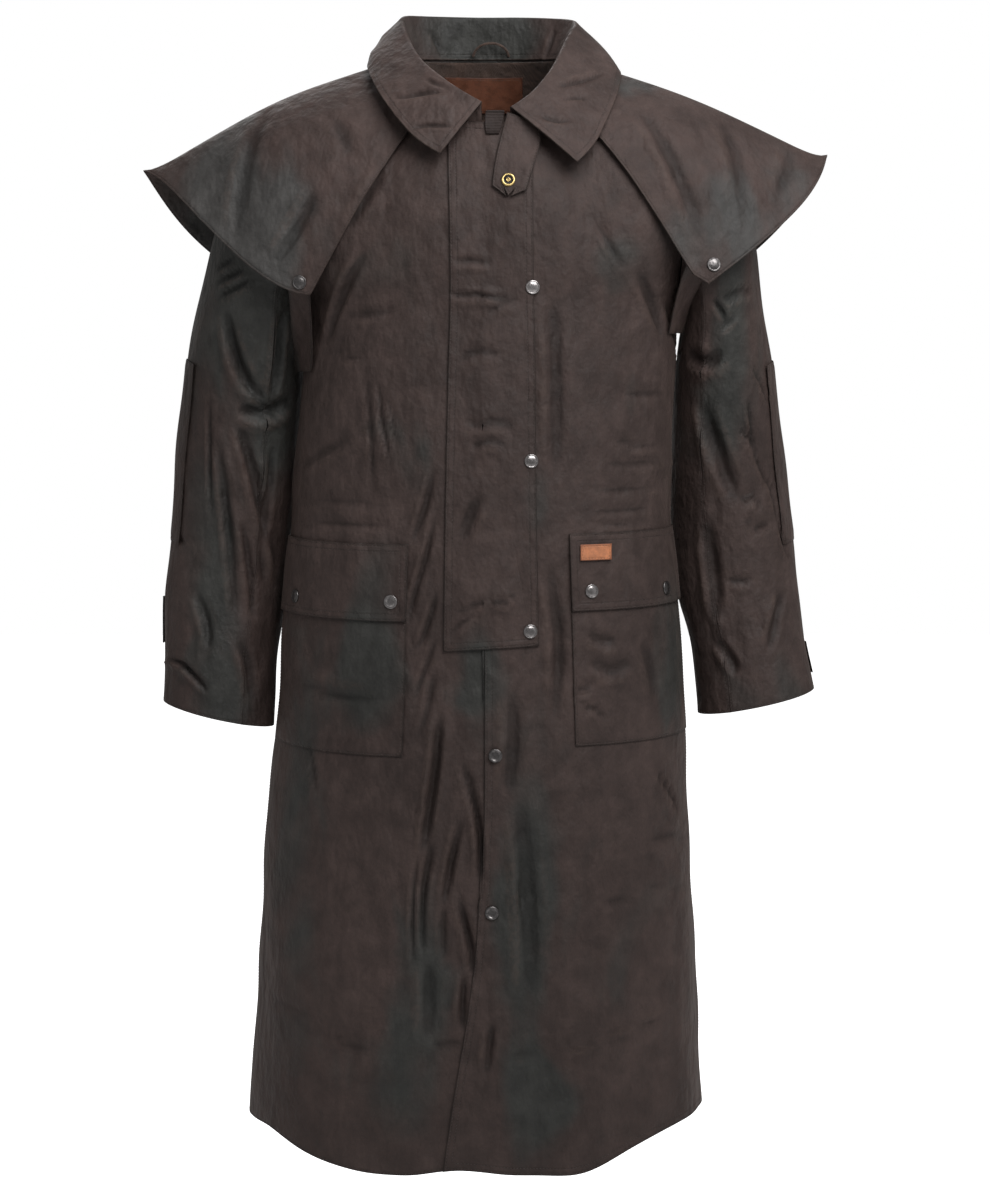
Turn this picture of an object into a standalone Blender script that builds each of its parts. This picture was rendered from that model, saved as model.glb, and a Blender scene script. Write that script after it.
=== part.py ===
"""Riding duster coat with a shoulder cape, filled out as if worn, with no wearer inside.

Lengths are metres. The coat faces -Y, +Z is up and +X is the wearer's left, so a side of -1
is the wearer's right and +1 the wearer's left. The origin is the middle of the neck base, where
a wearer's shoulders carry the coat. A face of -1 is the front of the coat and +1 its back.

Every sewn panel is a net of points on its outer side, made a closed wall by moving the same
points inwards. Panels that meet share their points and normals at the seam and are drawn back
by half the seam gap each. What lies on a panel is made from the panel's points, moved out.
"""
import math

import bmesh
import bpy
import numpy as np
from mathutils import Quaternion, Vector
from mathutils.bvhtree import BVHTree

# Cloth walls and the gaps between pieces
WALL = 0.0016
THIN_WALL = 0.0012
SEAM_GAP = 0.0004
LAYER_GAP = 0.0005
LAYER = WALL + LAYER_GAP

# Body sections from the underarm down to the hem
SECTION_POWER = 2.3
SECTION_COLUMNS = ("z", "right_half", "left_half", "front_depth", "back_depth")
SECTIONS = (
    (-0.264, 0.2050, 0.2250, 0.135, 0.125),
    (-0.320, 0.2125, 0.2265, 0.143, 0.127),
    (-0.400, 0.2205, 0.2235, 0.152, 0.129),
    (-0.546, 0.2330, 0.2225, 0.163, 0.131),
    (-0.670, 0.2415, 0.2345, 0.170, 0.138),
    (-0.763, 0.2480, 0.2398, 0.176, 0.147),
    (-0.872, 0.2635, 0.2445, 0.183, 0.160),
    (-0.983, 0.2700, 0.2510, 0.190, 0.175),
    (-1.083, 0.2750, 0.2560, 0.196, 0.187),
    (-1.180, 0.2835, 0.2620, 0.202, 0.197),
    (-1.252, 0.2890, 0.2670, 0.206, 0.203),
)

# Heights of the net's level lines, named where an edge of a piece lies on one
# Columns: name, z
LEVELS = (
    ("hem", -1.252), ("", -1.200), ("", -1.140), ("", -1.070), ("", -1.000), ("", -0.930), ("", -0.860),
    ("pocket_bottom", -0.773), ("", -0.715), ("storm_bottom", -0.655), ("flap_bottom", -0.619),
    ("pocket_top", -0.560), ("flap_top", -0.531), ("", -0.480), ("", -0.430), ("", -0.375), ("", -0.320),
    ("underarm", -0.264),
)
UNDERARM_Z = -0.264
HEM_COLUMNS = ("across", "rise")
HEM = (
    (-1.000, 0.0110), (-0.860, 0.0160), (-0.690, 0.0210), (-0.578, 0.0105), (-0.489, -0.0005),
    (-0.365, -0.0095), (-0.271, -0.0095), (-0.152, -0.0040), (-0.061, 0.0010), (0.043, -0.0040),
    (0.161, -0.0070), (0.283, -0.0080), (0.331, -0.0050), (0.410, 0.0055), (0.514, 0.0195),
    (0.644, 0.0300), (0.859, 0.0310), (1.000, 0.0260),
)
HEM_RISE_TOP = -1.00
POCKET_TILT = 0.006
POCKET_TILT_REACH = 0.3
TILT_COLUMNS = ("z", "share")
TILT = ((-1.0, 0.0), (-0.90, 0.1), (-0.78, 1.0), (-0.52, 1.0), (-0.44, 0.1), (-0.36, 0.0))
UPPER_LEVELS = 9

# Soft standing folds of the skirt: where they lie across a face, how wide and deep, from what height
# Columns: face, across, half_width, depth, top_z
FOLDS = (
    (-1, -0.115, 0.070, -0.0025, -0.70),
    (-1, -0.200, 0.060, 0.0040, -0.72),
    (-1, -0.330, 0.110, -0.0030, -0.84),
    (-1, -0.560, 0.150, 0.0040, -0.86),
    (-1, -0.800, 0.130, -0.0040, -0.84),
    (-1, 0.270, 0.120, 0.0040, -0.88),
    (-1, 0.480, 0.140, -0.0035, -0.86),
    (-1, 0.720, 0.140, 0.0045, -0.84),
    (1, -0.780, 0.160, 0.0060, -0.60),
    (1, -0.520, 0.150, -0.0060, -0.62),
    (1, -0.250, 0.140, 0.0070, -0.56),
    (1, 0.000, 0.150, -0.0060, -0.60),
    (1, 0.270, 0.140, 0.0075, -0.54),
    (1, 0.540, 0.150, -0.0060, -0.62),
    (1, 0.800, 0.160, 0.0055, -0.60),
)
FOLD_GROWTH = 0.25

# Neck, shoulders and armholes
NECK_HALF = 0.090
NECK_MIDDLE_Y = 0.005
NECK_FRONT_DEPTH = 0.100
NECK_BACK_DEPTH = 0.073
NECK_FRONT_Z = -0.062
NECK_SIDE_Z = 0.018
NECK_BACK_Z = 0.0235
NECK_SHARE = 0.46
SHOULDER_POINTS = {-1: (-0.232, 0.005, -0.036), 1: (0.235, 0.005, -0.038)}
ARMHOLE_DEPTH = 0.085
CENTRE_COLUMNS = ("climb", "front_y", "back_y")
CENTRE_LINE = (
    (0.00, -0.1350, 0.1250),
    (0.35, -0.1270, 0.1240),
    (0.70, -0.1130, 0.1120),
    (1.00, -0.0950, 0.0780),
)

# Where the net's standing lines lie, as shares of the way from the centre to the side seam
RIGHT_FRONT_LINES = (1.0, 0.91, 0.82, 0.74, 0.66, 0.56, 0.46, 0.36, 0.27, 0.20, 0.14, 0.07)
LEFT_FRONT_LINES = (0.045, 0.09, 0.15, 0.19, 0.25, 0.31, 0.385, 0.46, 0.56, 0.66, 0.74, 0.82, 0.91, 1.0)
BACK_LINES = (0.09, 0.18, 0.27, 0.365, 0.46, 0.56, 0.66, 0.74, 0.82, 0.91, 1.0)
UNDERLAP_LINE = 0.09
STORM_SEAM_LINE = -0.14
STORM_FREE_LINE = 0.19
POCKET_INNER_LINE = {-1: -0.27, 1: 0.31}
POCKET_OUTER_LINE = {-1: -0.91, 1: 0.91}

# Free edge of the left front, which laps over the right one
FRONT_EDGE_COLUMNS = ("z", "across")
FRONT_EDGE = (
    (-1.252, -0.120), (-1.170, -0.092), (-1.100, -0.062), (-1.030, -0.032), (-0.960, -0.018),
    (-0.880, -0.010), (-0.600, -0.009), (-0.264, -0.009),
)
EDGE_MIDDLE_SHARE = 0.6
EDGE_MIDDLE_LINE = -0.07
LAP_COLUMNS = ("across", "front_lift", "storm_lift")
LAPS = (
    (-0.140, LAYER, LAYER + 0.0001),
    (-0.070, LAYER, 1.25 * LAYER),
    (0.000, LAYER, 2 * LAYER),
    (0.045, LAYER, 2 * LAYER),
    (0.090, LAYER, 2 * LAYER),
    (0.150, 0.0003, 1.45 * LAYER),
    (0.190, 0.0, 1.15 * LAYER),
    (0.250, 0.0, 1.10 * LAYER),
)

# Pockets: how far the pocket and its flap stand off the front at each level
POCKET_LIFTS = {"pocket_bottom": LAYER, "": 0.0033, "storm_bottom": 0.0031,
                "flap_bottom": 0.0026, "pocket_top": LAYER}
FLAP_LIFTS = {"flap_bottom": 0.0051, "pocket_top": 0.0044, "flap_top": LAYER}

# Sleeves, from the armhole to the cuff: outer and inner outline, middle and half depth
SLEEVE_COLUMNS = ("outer_x", "outer_z", "inner_x", "inner_z", "middle_y", "half_depth")
SLEEVES = {
    -1: (
        (0.2320, -0.036, 0.2050, -0.264, 0.0025, 0.085),
        (0.2725, -0.068, 0.2165, -0.2710, 0.004, 0.086),
        (0.3035, -0.120, 0.2185, -0.288, 0.011, 0.087),
        (0.3250, -0.199, 0.2155, -0.305, 0.020, 0.088),
        (0.3420, -0.262, 0.2160, -0.335, 0.030, 0.087),
        (0.3570, -0.331, 0.2180, -0.386, 0.038, 0.085),
        (0.3722, -0.441, 0.2255, -0.484, 0.042, 0.080),
        (0.3815, -0.570, 0.2375, -0.606, 0.036, 0.072),
        (0.3880, -0.645, 0.2480, -0.675, 0.020, 0.066),
        (0.3900, -0.738, 0.2525, -0.770, 0.008, 0.060),
    ),
    1: (
        (0.2350, -0.038, 0.2250, -0.264, 0.0025, 0.085),
        (0.2725, -0.066, 0.2350, -0.2700, 0.004, 0.086),
        (0.2995, -0.118, 0.2345, -0.288, 0.011, 0.087),
        (0.3230, -0.190, 0.2300, -0.310, 0.020, 0.088),
        (0.3290, -0.255, 0.2275, -0.335, 0.030, 0.087),
        (0.3435, -0.333, 0.2240, -0.386, 0.038, 0.085),
        (0.3590, -0.441, 0.2215, -0.484, 0.042, 0.080),
        (0.3755, -0.570, 0.2285, -0.606, 0.036, 0.072),
        (0.3840, -0.655, 0.2475, -0.670, 0.020, 0.066),
        (0.3978, -0.724, 0.2550, -0.755, 0.008, 0.060),
    ),
}
SLEEVE_STATIONS = {
    -1: (0.0, 0.5, 1.0, 1.6, 2.3, 3.0, 4.0, 5.0, 5.6, 6.2, 6.8, 7.2, 7.6, 8.3, 8.65, 9.0),
    1: (0.0, 0.5, 1.0, 1.6, 2.3, 3.0, 4.0, 5.0, 5.6, 6.2, 6.8, 7.2, 7.7, 8.2, 8.75, 9.0),
}
FRONT_SLEEVE_SEAM = 6
BACK_SLEEVE_SEAM = -6
ARMHOLE_SETBACK = 0.0007
PATCH_STATIONS = (5.0, 6.8)
PATCH_LINES = (-4, 2)
PATCH_LIFT = 0.0017
PATCH_WALL = 0.0013
TAB_STATIONS = {-1: (7.6, 8.3), 1: (8.2, 8.75)}
TAB_LINES = (-5, 0)
# Columns: side, station, half_length, line, half_turn, depth
SLEEVE_FOLDS = (
    (-1, 3.6, 0.9, 4.0, 3.0, -0.0060),
    (-1, 4.7, 0.8, 3.0, 3.0, 0.0050),
    (-1, 5.6, 0.7, 5.0, 3.0, -0.0050),
    (-1, 8.5, 0.5, 2.0, 3.0, -0.0040),
    (1, 3.4, 0.9, 4.0, 3.0, -0.0050),
    (1, 4.9, 0.8, 2.5, 3.0, 0.0045),
    (1, 5.8, 0.7, 4.0, 3.0, -0.0040),
    (-1, 5.3, 0.9, -4.0, 3.0, 0.0050),
    (1, 5.3, 0.9, -4.0, 3.0, 0.0050),
)

# Shoulder cape: turn round the neck from the front centre, hem point, rise of the line between
CAPE_COLUMNS = ("turn", "hem_x", "hem_y", "hem_z", "rise")
CAPE = (
    (-42, -0.1985, -0.104, -0.2560, 0.000),
    (-47, -0.2200, -0.106, -0.2540, 0.001),
    (-54, -0.2620, -0.102, -0.2310, 0.003),
    (-62, -0.3070, -0.082, -0.1890, 0.006),
    (-70, -0.3290, -0.066, -0.1680, 0.008),
    (-78, -0.3530, -0.046, -0.1440, 0.007),
    (-85, -0.3790, -0.022, -0.1195, 0.006),
    (-92, -0.4010, 0.000, -0.1100, 0.006),
    (-99, -0.3900, 0.030, -0.1330, 0.006),
    (-107, -0.3680, 0.068, -0.1710, 0.006),
    (-117, -0.3250, 0.105, -0.2150, 0.006),
    (-131, -0.2550, 0.140, -0.2620, 0.003),
    (-148, -0.1650, 0.162, -0.3000, 0.001),
    (-165, -0.0800, 0.172, -0.3180, 0.000),
    (180, 0.0000, 0.175, -0.3230, 0.000),
    (165, 0.0800, 0.172, -0.3180, 0.000),
    (148, 0.1650, 0.162, -0.3000, 0.001),
    (131, 0.2550, 0.140, -0.2600, 0.002),
    (117, 0.3250, 0.105, -0.2080, 0.003),
    (107, 0.3700, 0.068, -0.1600, 0.004),
    (99, 0.3930, 0.030, -0.1170, 0.004),
    (92, 0.4020, 0.000, -0.0920, 0.004),
    (86, 0.3950, -0.022, -0.1140, 0.004),
    (81, 0.3740, -0.048, -0.1460, 0.003),
    (76, 0.3400, -0.070, -0.1780, 0.002),
    (71, 0.3120, -0.086, -0.2010, 0.001),
    (66, 0.2760, -0.100, -0.2280, 0.000),
    (62, 0.2560, -0.105, -0.2430, 0.000),
    (59, 0.2380, -0.107, -0.2320, 0.000),
)
CAPE_ROWS = 7
CAPE_NECK_SETBACK = 0.004
CAPE_CLEARANCE = 0.0062
CAPE_RELAX_ROUNDS = 6
CAPE_ROW_POWER = 1.15
CAPE_TOP_LIFT = LAYER + 0.0004
CAPE_LIFT_SHARE = 0.3
PUSH_REACH = 0.03

# Collar: turn round the neck, stand height and lean at the fold, and the leaf's free edge
COLLAR_COLUMNS = ("turn", "height", "lean", "leaf_x", "leaf_y", "leaf_z", "bulge")
COLLAR_RIGHT = (
    (-180, 0.0510, -0.002, 0.0000, 0.120, -0.0060, 0.004),
    (-150, 0.0525, 0.006, -0.0620, 0.108, -0.0040, 0.004),
    (-125, 0.0530, 0.012, -0.1120, 0.075, 0.0060, 0.006),
    (-105, 0.0520, 0.016, -0.1360, 0.030, 0.0180, 0.012),
    (-90, 0.0370, 0.006, -0.1390, -0.018, 0.0120, 0.011),
    (-78, 0.0380, 0.001, -0.1310, -0.055, -0.0120, 0.005),
    (-60, 0.0405, 0.000, -0.1080, -0.092, -0.0445, 0.003),
    (-40, 0.0440, 0.002, -0.0860, -0.114, -0.0730, 0.003),
    (-20, 0.0370, 0.006, -0.0660, -0.122, -0.0885, 0.003),
    (3, 0.0210, 0.010, -0.0460, -0.126, -0.1005, 0.003),
)
COLLAR_LEFT = (
    (17, 0.0150, 0.009, 0.1040, -0.126, -0.1080, 0.003),
    (35, 0.0230, 0.006, 0.1150, -0.118, -0.0970, 0.003),
    (50, 0.0280, 0.003, 0.1275, -0.102, -0.0830, 0.003),
    (65, 0.0290, 0.002, 0.1430, -0.072, -0.0500, 0.003),
    (80, 0.0290, 0.004, 0.1570, -0.036, -0.0160, 0.006),
    (90, 0.0310, 0.010, 0.1610, -0.006, 0.0060, 0.011),
    (103, 0.0450, 0.027, 0.1560, 0.030, 0.0110, 0.012),
    (125, 0.0500, 0.022, 0.1240, 0.078, 0.0040, 0.006),
    (150, 0.0520, 0.008, 0.0660, 0.108, -0.0040, 0.004),
    (180, 0.0510, -0.002, 0.0000, 0.120, -0.0060, 0.004),
)
RIGHT_COLLAR_END = -0.008
FOLD_RADIUS = 0.0026
LEAF_ROWS = 4
LEAF_CLEARANCE = 0.0030
STAND_SHARES = (0.0, 0.35, 0.7)
FOLD_ANGLES = (180, 120, 60, 0)
UNDERLAP_SLACK = 0.01

# Small pieces at the neck
FACING_LEVELS = 3
FACING_SETBACK = 0.0025
# Columns: z, right_x, left_x
STAND_END = (
    (-0.0730, 0.0022, 0.0168),
    (-0.0700, 0.0008, 0.0183),
    (-0.0600, 0.0004, 0.0208),
    (-0.0500, 0.0008, 0.0232),
    (-0.0472, 0.0026, 0.0222),
)
STAND_END_LEAN = 0.28
STAND_END_WALL = 0.0018
STAND_END_SPLITS = 3
NECK_EDGE_SETBACK = 0.004
# Columns: right_x, right_z, left_x, left_z
LATCH = (
    (0.0258, -0.0500, 0.0620, -0.0600),
    (0.0208, -0.0690, 0.0655, -0.0810),
    (0.0118, -0.1020, 0.0560, -0.1100),
    (0.0084, -0.1327, 0.0475, -0.1377),
    (0.0222, -0.1445, 0.0290, -0.1457),
)
LATCH_WALL = 0.0020
LATCH_LIFT = 2 * LAYER + LATCH_WALL + 2 * LAYER_GAP
LATCH_SPLITS = 3
NECK_LABEL_SPAN = (-0.0490, 0.0456)
NECK_LABEL_HEIGHT = (-0.0370, 0.0040)
NECK_LABEL_STEPS = 7
LABEL_WALL = 0.0012
LABEL_GAP = 0.0012
LABEL_ROWS = 5
POCKET_LABEL_STEPS = 3
POCKET_LABEL_SPAN = (0.1085, 0.1438)
POCKET_LABEL_HEIGHT = (-0.5555, -0.5375)
LOOP_ENDS = (-0.0143, 0.0287)
LOOP_FOOT = (0.0705, 0.0262)
LOOP_TOP = (0.0640, 0.0428)
LOOP_SECTION = (0.0034, 0.0018)
LOOP_STEPS = 12

# Straps that hold the cape's front corners down, from the cape to the body
STRAP_HALF_WIDTH = 0.012
STRAP_ROWS = 6
STRAP_BEND = 0.8
STRAP_CLEARANCE = 0.0023
# Columns: top_x, top_z, bottom_x, bottom_z
STRAPS = {-1: (-0.2135, -0.2360, -0.2120, -0.3450), 1: (0.2440, -0.2200, 0.2220, -0.3000)}

# Snaps: place on the front of the coat, by piece
SNAP_RADIUS = 0.0080
SNAP_HEIGHT = 0.0028
SNAP_SIDES = 14
SNAP_GAP = 0.0003
SEAT_SHARES = (0.5, 1.0)
# Columns: name, piece, x, z
SNAPS = (
    ("storm_snap_top", "storm_flap", 0.0545, -0.2469),
    ("storm_snap_middle", "storm_flap", 0.0530, -0.4421),
    ("storm_snap_bottom", "storm_flap", 0.0522, -0.6344),
    ("front_snap_upper", "front_left", 0.0120, -0.7751),
    ("front_snap_lower", "front_left", 0.0086, -0.9547),
    ("pocket_snap_right_inner", "pocket_flap_right", -0.1065, -0.6018),
    ("pocket_snap_right_outer", "pocket_flap_right", -0.2215, -0.6038),
    ("pocket_snap_left_inner", "pocket_flap_left", 0.1221, -0.5904),
    ("pocket_snap_left_outer", "pocket_flap_left", 0.2120, -0.5942),
    ("cape_snap_right", "cape", -0.2110, -0.2415),
    ("cape_snap_left", "cape", 0.2617, -0.2212),
)
# Columns: name, piece, x, y, z
CUFF_SNAPS = (
    ("cuff_snap_right", "cuff_tab_right", -0.350, 0.080, -0.645),
    ("cuff_snap_left", "cuff_tab_left", 0.350, 0.080, -0.690),
)
THROAT_SNAP_PLACE = (0.0270, -0.1268)
THROAT_SNAP_RADIUS = 0.0080
THROAT_SNAP_HEIGHT = 0.0022

# Walls and finishes that are not the plain ones
SIDES = ((-1, "right"), (1, "left"))
CLOTH_WALLS = {
    "elbow_patch_right": PATCH_WALL,
    "elbow_patch_left": PATCH_WALL,
    "throat_latch": LATCH_WALL,
    "collar_stand_end": STAND_END_WALL,
    "neck_facing": THIN_WALL,
    "neck_label": LABEL_WALL,
    "pocket_label": LABEL_WALL,
}
CLOTH_FINISHES = {
    "cape": "oilskin_grey",
    "neck_facing": "lining",
    "neck_label": "leather",
    "pocket_label": "leather",
}

# Finishes: colour, roughness, metallic
FINISHES = {
    "oilskin": ((0.062, 0.049, 0.042), 0.52, 0.0),
    "oilskin_grey": ((0.058, 0.056, 0.052), 0.55, 0.0),
    "lining": ((0.030, 0.022, 0.018), 0.80, 0.0),
    "leather": ((0.300, 0.110, 0.050), 0.60, 0.0),
    "snap_metal": ((0.300, 0.280, 0.270), 0.35, 0.9),
    "brass": ((0.560, 0.430, 0.200), 0.30, 0.9),
}

UP = np.array((0.0, 0.0, 1.0))
TOWARDS_BACK = np.array((0.0, 1.0, 0.0))
SAME_NORMAL = 0.9999


def column(table, names, name):
    """One named column of a table, as an array."""
    return np.array([row[names.index(name)] for row in table], dtype=float)


def follow(keys, values, at):
    """Value at a key on a smooth curve through the given rows, whose keys rise or fall."""
    if keys[0] > keys[-1]:
        keys = keys[::-1]
        values = values[::-1]
    slopes = np.gradient(values, keys)
    at = min(max(at, keys[0]), keys[-1])
    row = min(int(np.searchsorted(keys, at, side="right")) - 1, len(keys) - 2)
    span = keys[row + 1] - keys[row]
    part = (at - keys[row]) / span
    rest = 1.0 - part
    start = values[row] * (1 + 2 * part) * rest * rest + slopes[row] * span * part * rest * rest
    end = values[row + 1] * part * part * (3 - 2 * part) - slopes[row + 1] * span * part * part * rest
    return start + end


def ease(part):
    """Smooth step from 0 to 1."""
    part = min(max(part, 0.0), 1.0)
    return part * part * (3 - 2 * part)


def unit(vectors):
    """Vectors scaled to length one."""
    lengths = np.linalg.norm(vectors, axis=-1, keepdims=True)
    return vectors / np.maximum(lengths, 1e-12)


# Body surface

def section(name, z):
    return follow(column(SECTIONS, SECTION_COLUMNS, "z"), column(SECTIONS, SECTION_COLUMNS, name), z)


def quarter_curve(side, face, z):
    """A quarter of the body's section at a height, from the centre line to the side seam."""
    half = section("right_half" if side < 0 else "left_half", z)
    depth = section("front_depth" if face < 0 else "back_depth", z)
    angle = np.linspace(0.0, math.pi / 2, 65)
    x = side * half * np.sin(angle) ** (2 / SECTION_POWER)
    y = face * depth * np.maximum(np.cos(angle), 0.0) ** (2 / SECTION_POWER)
    return np.stack((x, y), axis=1)


def fold_height(face, across, z):
    """How far the skirt's standing folds move the section out at a place."""
    height = 0.0
    for fold_face, centre, half_width, depth, top_z in FOLDS:
        offset = abs(across - centre) / half_width
        if fold_face == face and offset < 1.0 and z < top_z:
            height += depth * math.cos(offset * math.pi / 2) ** 2 * ease((top_z - z) / FOLD_GROWTH)
    return height


def level_height(across, z):
    """Height of a level line, which tilts across the pockets and rises to the sides at the hem."""
    shares = column(TILT, TILT_COLUMNS, "share")
    tilt = POCKET_TILT * np.interp(z, column(TILT, TILT_COLUMNS, "z"), shares)
    tilt *= np.clip(across / POCKET_TILT_REACH, -1.0, 1.0)
    rise = follow(column(HEM, HEM_COLUMNS, "across"), column(HEM, HEM_COLUMNS, "rise"), across)
    return z + tilt + rise * ease((HEM_RISE_TOP - z) / (HEM_RISE_TOP - LEVELS[0][1]))


def skirt_point(face, across, z):
    """Point below the underarm, at a share of the way from the centre to the side seam."""
    side = -1 if across < 0 else 1
    height = level_height(across, z)
    curve = quarter_curve(side, face, height)
    steps = np.linalg.norm(np.diff(curve, axis=0), axis=1)
    travel = np.concatenate(([0.0], np.cumsum(steps)))
    place = abs(across) * travel[-1]
    x = np.interp(place, travel, curve[:, 0])
    y = np.interp(place, travel, curve[:, 1])
    out = unit(np.array((x / section("left_half", height) ** 2, y / section("front_depth", height) ** 2)))
    lift = fold_height(face, across, height)
    return np.array((x + out[0] * lift, y + out[1] * lift, height))


def neckline_point(turn):
    """Point of the neck seam at a turn in degrees from the front centre, positive to +X."""
    angle = math.radians(turn)
    ahead = math.cos(angle)
    if ahead >= 0:
        depth = NECK_FRONT_DEPTH
        z = NECK_FRONT_Z + (NECK_SIDE_Z - NECK_FRONT_Z) * (1 - ahead)
    else:
        depth = NECK_BACK_DEPTH
        z = NECK_SIDE_Z + (NECK_BACK_Z - NECK_SIDE_Z) * -ahead
    return np.array((NECK_HALF * math.sin(angle), NECK_MIDDLE_Y - depth * ahead, z))


def line_turn(face, across):
    """Turn round the neck at which a standing line of the net meets the neck seam."""
    turn = 90.0 * across / NECK_SHARE
    if face < 0:
        return turn
    return 180.0 - turn if across > 0 else -180.0 - turn


def top_point(face, across):
    """Point of the neck seam or the shoulder seam."""
    if abs(across) <= NECK_SHARE:
        return neckline_point(line_turn(face, across))
    side = -1 if across < 0 else 1
    part = (abs(across) - NECK_SHARE) / (1 - NECK_SHARE)
    return neckline_point(90.0 * side) * (1 - part) + np.array(SHOULDER_POINTS[side]) * part


def armhole_point(side, face, angle):
    """Point of the armhole, at an angle from the shoulder point down to the underarm."""
    top = np.array(SHOULDER_POINTS[side])
    bottom = skirt_point(face, side * 1.0, UNDERARM_Z)
    middle = (top + bottom) / 2
    return middle + (top - bottom) / 2 * math.cos(angle) + TOWARDS_BACK * face * ARMHOLE_DEPTH * math.sin(angle)


def centre_point(face, climb):
    """Point of the front or back centre line above the underarm level."""
    name = "front_y" if face < 0 else "back_y"
    y = follow(column(CENTRE_LINE, CENTRE_COLUMNS, "climb"), column(CENTRE_LINE, CENTRE_COLUMNS, name), climb)
    top_z = NECK_FRONT_Z if face < 0 else NECK_BACK_Z
    return np.array((0.0, y, UNDERARM_Z * (1 - climb) + top_z * climb))


def yoke_point(face, across, climb):
    """Point above the underarm level, blended from the four edges of the upper panel."""
    side = -1 if across < 0 else 1
    out = abs(across)
    edges = centre_point(face, climb) * (1 - out)
    edges = edges + armhole_point(side, face, math.pi * (1 - climb)) * out
    edges = edges + skirt_point(face, across, UNDERARM_Z) * (1 - climb) + top_point(face, across) * climb
    corners = skirt_point(face, 0.0, UNDERARM_Z) * (1 - out) * (1 - climb)
    corners = corners + skirt_point(face, side * 1.0, UNDERARM_Z) * out * (1 - climb)
    corners = corners + top_point(face, 0.0) * (1 - out) * climb
    corners = corners + top_point(face, side * 1.0) * out * climb
    return edges - corners


def body_point(face, across, level):
    """Point of the body at a level of the net."""
    if level < len(LEVELS):
        return skirt_point(face, across, LEVELS[level][1])
    return yoke_point(face, across, (level - len(LEVELS) + 1) / UPPER_LEVELS)


def level_named(name):
    return [row[0] for row in LEVELS].index(name)


TOP_LEVEL = len(LEVELS) - 1 + UPPER_LEVELS


# Nets and walls

class Net:
    """Points on the outer side of a piece of cloth, in rows, with the normals out of it."""

    def __init__(self, points, normals=None, flip=False):
        self.points = np.array(points, dtype=float)
        self.normals = normals
        if normals is None:
            self.normals = surface_normals(self.points) * (-1 if flip else 1)

    def moved(self, lift):
        return Net(self.points + self.normals * np.asarray(lift)[..., None], self.normals.copy())

    def part(self, rows, columns):
        """The rows and columns from the first to the last named, both included."""
        across = slice(columns[0], columns[1] + 1)
        along = slice(rows[0], rows[1] + 1)
        return Net(self.points[along, across], self.normals[along, across].copy())

    def drawn_back(self, edges, gap=SEAM_GAP / 2):
        """The net with its named edges moved in along the surface."""
        points = self.points.copy()
        if "first_column" in edges:
            points[:, 0] += gap * unit(points[:, 1] - points[:, 0])
        if "last_column" in edges:
            points[:, -1] += gap * unit(points[:, -2] - points[:, -1])
        if "first_row" in edges:
            points[0] += gap * unit(points[1] - points[0])
        if "last_row" in edges:
            points[-1] += gap * unit(points[-2] - points[-1])
        return Net(points, self.normals)


def surface_normals(points):
    """Normals at the points of a net, from the squares round each."""
    squares = np.cross(points[1:, 1:] - points[:-1, :-1], points[1:, :-1] - points[:-1, 1:])
    total = np.zeros_like(points)
    total[:-1, :-1] += squares
    total[1:, :-1] += squares
    total[:-1, 1:] += squares
    total[1:, 1:] += squares
    return unit(total)


def sew(nets):
    """Give points that the nets share one normal, so walls meet face to face at a seam."""
    shared = {}
    for net in nets:
        for place, normal in zip(net.points.reshape(-1, 3), net.normals.reshape(-1, 3)):
            met = shared.setdefault(tuple(np.round(place, 4)), [])
            if all(other @ normal < SAME_NORMAL for other in met):
                met.append(normal.copy())
    for net in nets:
        flat = net.normals.reshape(-1, 3)
        for index, place in enumerate(net.points.reshape(-1, 3)):
            flat[index] = unit(sum(shared[tuple(np.round(place, 4))]))


def finish_material(name):
    """Material of a named finish, made once."""
    material = bpy.data.materials.get(name)
    if material is None:
        material = bpy.data.materials.new(name)
        material.use_nodes = True
        colour, roughness, metallic = FINISHES[name]
        shader = material.node_tree.nodes["Principled BSDF"]
        shader.inputs["Base Color"].default_value = (*colour, 1.0)
        shader.inputs["Roughness"].default_value = roughness
        shader.inputs["Metallic"].default_value = metallic
    return material


def add_object(name, mesh_data, finish):
    """Object from a bmesh, with its faces turned out and smooth."""
    bmesh.ops.recalc_face_normals(mesh_data, faces=mesh_data.faces)
    if mesh_data.calc_volume(signed=True) < 0:
        bmesh.ops.reverse_faces(mesh_data, faces=mesh_data.faces)
    mesh = bpy.data.meshes.new(name)
    mesh_data.to_mesh(mesh)
    mesh_data.free()
    mesh.shade_smooth()
    mesh.set_sharp_from_angle(angle=math.radians(40))
    mesh.materials.append(finish_material(finish))
    piece = bpy.data.objects.new(name, mesh)
    bpy.context.scene.collection.objects.link(piece)
    return piece


def add_wall(name, net, finish, wall=WALL):
    """Closed cloth wall from the outer points of a net."""
    rows, columns = net.points.shape[:2]
    mesh_data = bmesh.new()
    sides = []
    for points in (net.points, net.points - net.normals * wall):
        sides.append([[mesh_data.verts.new(point) for point in row] for row in points])
    outer, inner = sides
    for row in range(rows - 1):
        for place in range(columns - 1):
            for grid in sides:
                mesh_data.faces.new((grid[row][place], grid[row][place + 1],
                                     grid[row + 1][place + 1], grid[row + 1][place]))
    rim = [(row, 0) for row in range(rows)]
    rim += [(rows - 1, place) for place in range(1, columns)]
    rim += [(row, columns - 1) for row in range(rows - 2, -1, -1)]
    rim += [(0, place) for place in range(columns - 2, 0, -1)]
    for (row, place), (next_row, next_place) in zip(rim, rim[1:] + rim[:1]):
        mesh_data.faces.new((outer[row][place], outer[next_row][next_place],
                             inner[next_row][next_place], inner[row][place]))
    return add_object(name, mesh_data, finish)


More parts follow.
